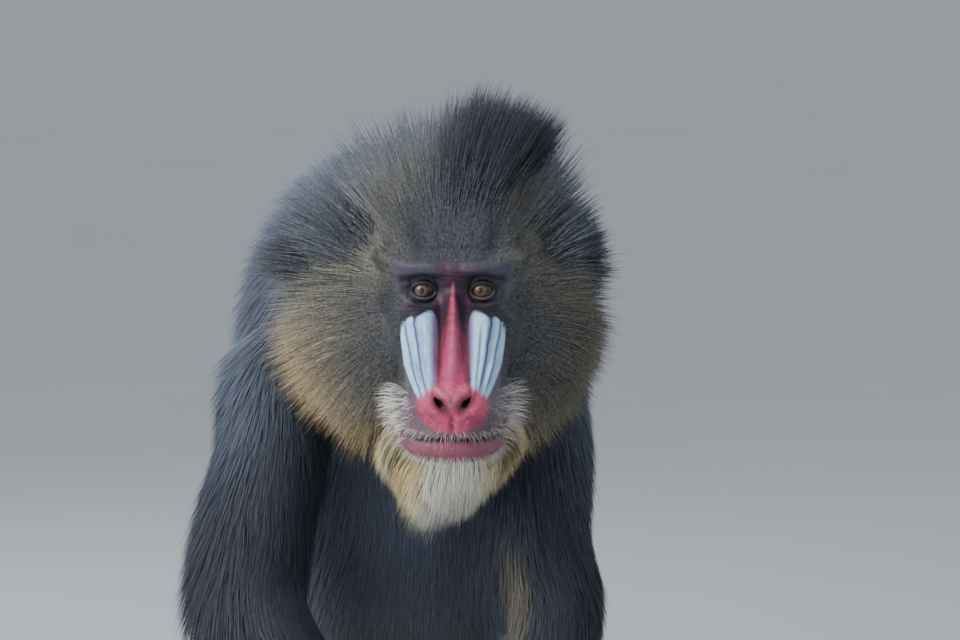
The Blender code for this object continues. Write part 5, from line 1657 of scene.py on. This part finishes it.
def jowlStyle(p, n):
    # orange hair that hangs from the lower cheeks to the beard
    sign = np.sign(p[:, 0])
    out = step(0.030, 0.060, np.abs(p[:, 0]))
    leave = np.stack([sign * (0.30 + 0.55 * out), 0.20 + 0 * sign, -0.75 + 0 * sign], -1)
    end = np.stack([sign * (0.05 + 0.25 * out), 0.25 + 0 * sign, -1.0 + 0 * sign], -1)
    length = (0.046 + 0.016 * step(-0.020, 0.030, p[:, 1])) * (1 - 0.32 * (p[:, 0] > 0))
    tone = blend(np.tile(fur("orange"), (len(p), 1)), fur("cream"), 0.7 * step(0.010, -0.030, p[:, 1]))
    tone = blend(tone, fur("gold"), 0.7 * step(0.015, 0.040, p[:, 1]))
    # painted shade: 30% darker on the animal's left
    tone = tone * (1 - 0.30 * (p[:, 0] > 0))[:, None]
    return leave, end, length, tone * 0.55, tone


def onJowl(p):
    # the lower cheeks behind the corners of the mouth
    over = mouthHeight(p[:, 0], p[:, 1], p[:, 2])
    low = step(-0.094, -0.106, p[:, 2]) * (over < 0.004)
    return low * (p[:, 1] < 0.050) * (p[:, 1] > -0.034) * (np.abs(p[:, 0]) > 0.024)


def beardStyle(p, n):
    # hanging, drawn together towards the animal's right, longest in the middle, white with cream sides
    share = np.clip(p[:, 0] / 0.030, -1.5, 1.5)
    leave = np.stack([share * 0.55 - 0.10, -0.35 + 0.6 * step(-0.05, 0.0, p[:, 1]), -1.0 + 0 * share], -1)
    end = np.stack([share * 0.10 - 0.26, 0.12 + 0 * share, -1.0 + 0 * share], -1)
    length = np.interp(p[:, 1], [-0.080, -0.066, -0.045, -0.020, 0.012], [0.026, 0.036, 0.046, 0.048, 0.040])
    length = length * (1.22 - 0.52 * np.abs(share + 0.38) ** 1.1) * (1 + 0.18 * softNoise(p, 0.010, 55))
    side = np.abs(share - 0.10) + 0.22 * softNoise(p, 0.010, 5)
    tip = blend(np.tile(fur("white") * (1.25, 1.22, 1.14), (len(p), 1)), fur("cream"), step(0.35, 0.80, side))
    tip = blend(tip, fur("orange"), 0.85 * step(0.75, 1.20, side))
    return leave, end, length, tip * 0.74, tip


def whiskerStyle(p, n):
    # out to the sides and up, lower rows less
    sign = np.sign(p[:, 0])
    row = (-0.066 - p[:, 2]) / 0.0115
    leave = np.stack([sign * 0.85, 0.10 + 0 * sign, 0.50 - 0.20 * row], -1)
    end = np.stack([sign * 0.75, 0.30 + 0 * sign, 0.24 - 0.30 * row], -1)
    length = np.interp(p[:, 1], [-0.070, -0.050, -0.030, 0.01], [0.009, 0.015, 0.020, 0.020])
    tip = blend(np.tile(fur("white"), (len(p), 1)), fur("cream"), 0.7 * step(-0.104, -0.124, p[:, 2]))
    return leave, end, length, tip * 0.75, tip


def bristleStyle(p, n):
    # short, off the skin and then down
    sign = np.sign(p[:, 0])
    leave = n + np.stack([sign * 0.35, 0 * sign, -0.55 + 0 * sign], -1)
    end = n * 0.25 + np.stack([p[:, 0] * 22, 0 * sign, -1.0 + 0 * sign], -1)
    tone = np.tile(fur("white"), (len(p), 1))
    return leave, end, 0.0085 + 0.0025 * softNoise(p, 0.002, 57), tone * 0.8, tone


def onChin(p):
    # under the lower lip, between the jowls
    over = mouthHeight(p[:, 0], p[:, 1], p[:, 2])
    return (over < -0.0180) * (p[:, 1] < 0.030) * (p[:, 2] < -0.112) * (np.abs(p[:, 0]) < 0.050)


def onCheekSide(p):
    # the sides of the muzzle over the corners of the mouth, thinner towards the bridge
    over = mouthHeight(p[:, 0], p[:, 1], p[:, 2])
    reach = step(-0.066, -0.084, p[:, 2]) * (0.20 + 0.80 * step(0.038, 0.044, np.abs(p[:, 0])))
    return (over > -0.018) * (p[:, 1] < 0.006) * (p[:, 1] > -0.068) * (np.abs(p[:, 0]) > 0.034) * reach


def onLip(p):
    # rows over and under the mouth line
    over = mouthHeight(p[:, 0], p[:, 1], p[:, 2])
    wide = np.abs(p[:, 0])
    upper = (over > 0.0015) * (over < 0.0085)
    beside = (over > 0.004) * (over < 0.030) * step(0.028, 0.036, wide)
    lower = (over < -0.013) * (over > -0.022)
    return (upper + 0.4 * beside + 1.5 * lower) * (p[:, 1] < -0.030)


beardPieces = {
    "jowlCoat": {"count": 7000, "where": onJowl, "width": 0.0008, "clump": (0.008, 0.26), "style": jowlStyle,
                 "speckle": 0.12},
    "beardCoat": {"count": 8000, "where": onChin, "width": 0.0008, "clump": (0.011, 0.50), "style": beardStyle,
                  "jitter": 0.14, "speckle": 0.14},
    "whiskerCoat": {"count": 520, "where": onCheekSide, "width": 0.00030, "clump": (0.006, 0.10),
                    "style": whiskerStyle, "jitter": 0.30, "speckle": 0.18, "bare": 0.0},
    "lipBristles": {"count": 1200, "where": onLip, "width": 0.00023, "style": bristleStyle, "jitter": 0.40,
                    "speckle": 0.1, "bare": 0.0},
}
headDraw, beardDraw = np.random.default_rng(41), np.random.default_rng(43)
for name, piece in headPieces.items():
    headPiece(name, headDraw, **piece)
for name, piece in beardPieces.items():
    headPiece(name, beardDraw, slot="beard_yellow", finish=coat, **piece)
report("coat of the head grown")


def bodyMarkings(points, normals, which):
    # tones of root and tip by the part of the body, its height and which way the skin faces there
    w = points - modelShift
    x, z = w[:, 0], w[:, 2]
    count = len(points)
    root = np.tile(fur("back"), (count, 1))
    tip = np.tile(fur("armTip"), (count, 1))
    front = step(0.1, -0.5, normals[:, 1])
    upper = step(0.40, 0.54, z)
    trunk = which == trunkGuide
    # the top of the back takes a pale blue-grey that is partly the coat's own tone and partly painted sheen
    backTip = blend(np.tile(fur("lowBack"), (count, 1)), fur("humpGreyAndSheen"), upper)
    tip = np.where(trunk[:, None], blend(backTip, fur("chest") * 1.4, front * (1 - 0.7 * upper)), tip)
    root = np.where(trunk[:, None], blend(root, fur("chest"), front), root)
    # a pale belly, and a pale tuft beside the left elbow
    belly = trunk * front * step(0.27, 0.20, z) * (1 - step(0.05, 0.09, np.abs(x)))
    tip = blend(tip, fur("belly"), 0.55 * belly)
    root = blend(root, fur("belly") * 0.5, 0.3 * belly)
    arm = (which == 1) | (which == 2)
    root = np.where(arm[:, None], fur("arm"), root)
    tip = np.where(arm[:, None], fur("armTip"), tip)
    outer = arm * step(0.1, 0.8, np.abs(normals[:, 0]) * (np.sign(normals[:, 0]) == np.sign(x)))
    high = step(0.32, 0.46, z)
    # the outer upper arms take the same blue-grey, partly painted sheen
    tip = blend(tip, fur("humpGreyAndSheen"), np.clip((0.35 + 0.6 * outer) * high, 0, 1) * arm)
    leg = (which == 3) | (which == 4)
    root = np.where(leg[:, None], fur("leg"), root)
    tip = np.where(leg[:, None], fur("legTip"), tip)
    offset = w - np.array([0.064, -0.075, 0.262])
    offset[:, 0] /= np.interp(offset[:, 2], [-0.050, 0.050], [0.024, 0.010])
    pale = 1 - step(0.5, 1.2, np.linalg.norm(offset / (1, 0.040, 0.056), axis=-1) + 0.15 * softNoise(points, 0.01, 56))
    tip = blend(tip, fur("belly"), 0.9 * pale)
    root = blend(root, fur("belly") * 0.6, 0.8 * pale)
    patch = 1 + 0.14 * softNoise(points, 0.05, 31)
    return root * patch[:, None], tip * patch[:, None]


def rumpField(w):
    # 1 in the middle of the bare rump, 0 outside its rounded edge and on the tail
    oval = np.hypot(w[:, 0] / 0.086, (w[:, 2] - 0.118) / 0.078)
    ragged = 0.10 * softNoise(w, 0.018, 41)
    onTail = (np.abs(w[:, 0]) < 0.024) * step(0.244, 0.250, w[:, 1]) * step(0.118, 0.128, w[:, 2])
    return (1 - step(0.86, 1.06, oval + ragged)) * step(0.180, 0.205, w[:, 1]) * (1 - onTail)


def bareBody(points, normals):
    # the rump round the tail, the seat pads, palms, soles and the ends of the digits carry no coat
    w = points - modelShift
    back = rumpField(w)
    seat = step(0.030, 0.018, w[:, 2]) * (w[:, 1] > 0.05)
    inHand = step(0.062, 0.050, w[:, 2]) * (w[:, 1] < -0.17)
    ahead = -w[:, 1] - 0.190
    handBare = inHand * np.maximum(step(0.02, -0.35, normals[:, 2]), step(0.040, 0.085, ahead))
    inFoot = step(0.055, 0.040, w[:, 2]) * (w[:, 1] < -0.02) * (np.abs(w[:, 0]) > 0.145)
    footBare = inFoot * np.maximum(step(0.02, -0.35, normals[:, 2]), step(0.150, 0.200, -w[:, 1]))
    sole = step(0.012, 0.006, w[:, 2])
    return np.clip(np.max([back, seat, handBare, footBare, sole], axis=0), 0, 1)


def bodyLength(index, points, normals):
    # length on each guide line by the share along it; longer on the outer right arm and the right shoulder
    w = points - modelShift
    front = step(0.1, -0.5, normals[:, 1])
    trunk = np.interp(index[:, 0], [0.0, 0.12, 0.35, 0.6, 0.8, 1.0], [0.050, 0.062, 0.064, 0.056, 0.046, 0.030])
    trunk = trunk * (1 - 0.30 * front)
    outerRight = step(-0.2, -0.8, normals[:, 0]) * step(0.40, 0.34, w[:, 2]) * step(0.10, 0.16, w[:, 2])
    trunk = trunk * (1 + 0.35 * step(-0.2, -0.7, normals[:, 0]) * step(0.38, 0.44, w[:, 2]))
    arms = [np.interp(index[:, k], [0.0, 0.15, 0.45, 0.75, 0.88, 0.95, 1.0],
                      [0.052, 0.050, 0.042, 0.032, 0.018, 0.010, 0.006]) for k in armGuides]
    arms[1] = arms[1] * (1 + 0.5 * outerRight)
    legs = [np.interp(index[:, k], [0.0, 0.3, 0.6, 0.85, 0.95, 1.0],
                      [0.042, 0.040, 0.034, 0.022, 0.012, 0.006]) for k in legGuides]
    tail = np.interp(index[:, 5], [0, 0.4, 1.0], [0.020, 0.026, 0.034])
    return np.stack([trunk, *arms, *legs, tail], -1)


bodyCoat = {
    "droop": 0.20,          # how far the lie of the coat turns down
    "swirl": 0.30,          # and sideways, in patches of swirlSize
    "swirlSize": 0.06,
    "lift": 0.24,           # share of the normal at the root
    "rightLift": 0.30,      # and how much more on the animal's right
    "endLift": 0.02,
    "endDroop": 0.30,
    "jitter": (0.06, 0.07),
    "lengths": (0.72, 1.10),
    "widths": (0.7, 1.3),
    "rootShare": 0.35,      # how far the roots take the tone of the tips
}


def bodyPiece(name, draw, member, count, width, guide, slot="coat_dark"):
    # flat along the guide lines' heading, lifted off the skin, drooping towards the tip
    count = int(count * byDetail(1.0))
    member = (ground["which"] == guide) * member
    weight = np.where(ground["head"], 0.0, 1.0) * member * (1 - bareBody(ground["middle"], ground["facing"]))
    roots, normals = scatter(weight, count, draw)
    which, share, index, heading = bodyField(roots)
    length = (bodyLength(index, roots, normals) * share).sum(1)
    flat = unit(heading + np.array([0, 0, -bodyCoat["droop"]]))
    flat = unit(flat - normals * (flat * normals).sum(1, keepdims=True))
    swirl = softNoise(roots, bodyCoat["swirlSize"], 33)[:, None] * bodyCoat["swirl"]
    flat = unit(flat + np.cross(normals, flat) * swirl)
    right = step(-0.2, -0.7, normals[:, 0]) * step(0.15, 0.25, roots[:, 2])
    lift = bodyCoat["lift"] + bodyCoat["rightLift"] * right
    leave = flat + normals * lift[:, None] + draw.normal(0, bodyCoat["jitter"][0], (count, 3))
    end = flat + normals * bodyCoat["endLift"] + np.array([0, 0, -bodyCoat["endDroop"]])
    end = end + draw.normal(0, bodyCoat["jitter"][1], (count, 3))
    length = length * draw.uniform(*bodyCoat["lengths"], count)
    widths = width * draw.uniform(*bodyCoat["widths"], count) * np.clip(length / 0.045, 0.45, 1.1)
    root, tip = bodyMarkings(roots, normals, which)
    root = root + (tip - root) * bodyCoat["rootShare"]
    shades = speckled(root, draw, 0.09), speckled(tip, draw, 0.13, 0.10)
    return tufts(name, roots, normals, leave, end, length, widths, shades, bodyUnwrap(roots, guide), draw, 1,
                 clump=(0.011, 0.16))


# Pieces of the body's coat in the order they grow: tufts, width of a tuft, guide line they lie round
bodyPieces = {
    "shoulderCoat": {"count": 28000, "width": 0.00135, "guide": trunkGuide},
    "backCoat": {"count": 19500, "width": 0.0017, "guide": trunkGuide},
    "chestCoat": {"count": 16000, "width": 0.0016, "guide": trunkGuide},
    "armCoatLeft": {"count": 23500, "width": 0.0012, "guide": armGuides[0]},
    "armCoatRight": {"count": 23500, "width": 0.0012, "guide": armGuides[1]},
    "legCoatLeft": {"count": 10000, "width": 0.0016, "guide": legGuides[0], "slot": "coat_grey"},
    "legCoatRight": {"count": 10000, "width": 0.0016, "guide": legGuides[1], "slot": "coat_grey"},
    "tailCoat": {"count": 2500, "width": 0.0013, "guide": tailGuide, "slot": "coat_grey"},
}
back = ground["facing"][:, 1] * 0.8 + ground["facing"][:, 2] * 0.6 > -0.12
high = (ground["middle"] - modelShift)[:, 2] > 0.42
trunkParts = {"shoulderCoat": back * high, "backCoat": back * ~high, "chestCoat": ~back}
bodyDraw = np.random.default_rng(47)
for name, piece in bodyPieces.items():
    bodyPiece(name, bodyDraw, trunkParts.get(name, 1.0), **piece)
skinPoints = pointsOf(skin)
setColours(skin, "skinTone", skinColours(skinPoints, normalsOf(skin)))
report("skin coloured")
report("coat of the body grown: %d triangles in all" % triangleTotal)


# The pale floor, soft studio light and the camera at the photo's angle
studio = {
    "azimuth": math.radians(-12),
    "elevation": math.radians(5),
    "distance": 4.0,
    "lens": 187.5,
    "aim": (0.0216, -0.0232),        # right of and below the middle between the eyes
    "worldColour": (0.86, 0.90, 0.96),
    "worldStrength": 0.68,
    "floorHalf": 60.0,
    "lamps": (   # name, place, size, power, colour
        ("key", (-2.05, -1.05, 1.75), 1.5, 58.0, (1.0, 0.98, 0.95)),
        ("fill", (-1.9, -1.9, 0.35), 1.4, 12.0, (0.92, 0.95, 1.0)),
        ("rim", (-0.6, 1.9, 1.9), 1.2, 24.0, (0.92, 0.96, 1.0)),
    ),
}
corners = np.array([[-1, -1, 0], [1, -1, 0], [1, 1, 0], [-1, 1, 0]]) * studio["floorHalf"]
floor = objectFrom("floor", corners, [np.array([[0, 1, 2, 3]])], smooth=False)
giveMaterial(floor, streaked("paleFloor", 0.75, 2.0, 3.0, (0.50, 0.52, 0.55), (0.56, 0.58, 0.60)))


def aimAt(made, target):
    # a lamp or camera looks down its own -z
    made.rotation_euler = (Vector(target) - made.location).to_track_quat("-Z", "Y").to_euler()


world = bpy.data.worlds.new("studio")
world.use_nodes = True
sky = world.node_tree.nodes["Background"]
sky.inputs["Color"].default_value = (*studio["worldColour"], 1.0)
sky.inputs["Strength"].default_value = studio["worldStrength"]
bpy.context.scene.world = world
for name, place, size, power, colour in studio["lamps"]:
    lamp = bpy.data.lights.new(name, "AREA")
    lamp.size = size
    lamp.energy = power
    lamp.color = colour
    holder = bpy.data.objects.new(name, lamp)
    holder.location = place
    aimAt(holder, headOrigin)
    bpy.context.scene.collection.objects.link(holder)

azimuth, elevation = studio["azimuth"], studio["elevation"]
backwards = np.array([
    math.sin(azimuth) * math.cos(elevation), -math.cos(azimuth) * math.cos(elevation), math.sin(elevation),
])
rightwards = np.array([math.cos(azimuth), math.sin(azimuth), 0.0])
upwards = np.cross(backwards, rightwards)
target = headOrigin + rightwards * studio["aim"][0] + upwards * studio["aim"][1]
lens = bpy.data.cameras.new("camera")
lens.lens = studio["lens"]
lens.sensor_width = 36.0
lens.clip_end = 200.0
camera = bpy.data.objects.new("camera", lens)
camera.location = target + backwards * studio["distance"]
aimAt(camera, target)
bpy.context.scene.collection.objects.link(camera)
bpy.context.scene.camera = camera

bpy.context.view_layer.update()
report("scene ready")
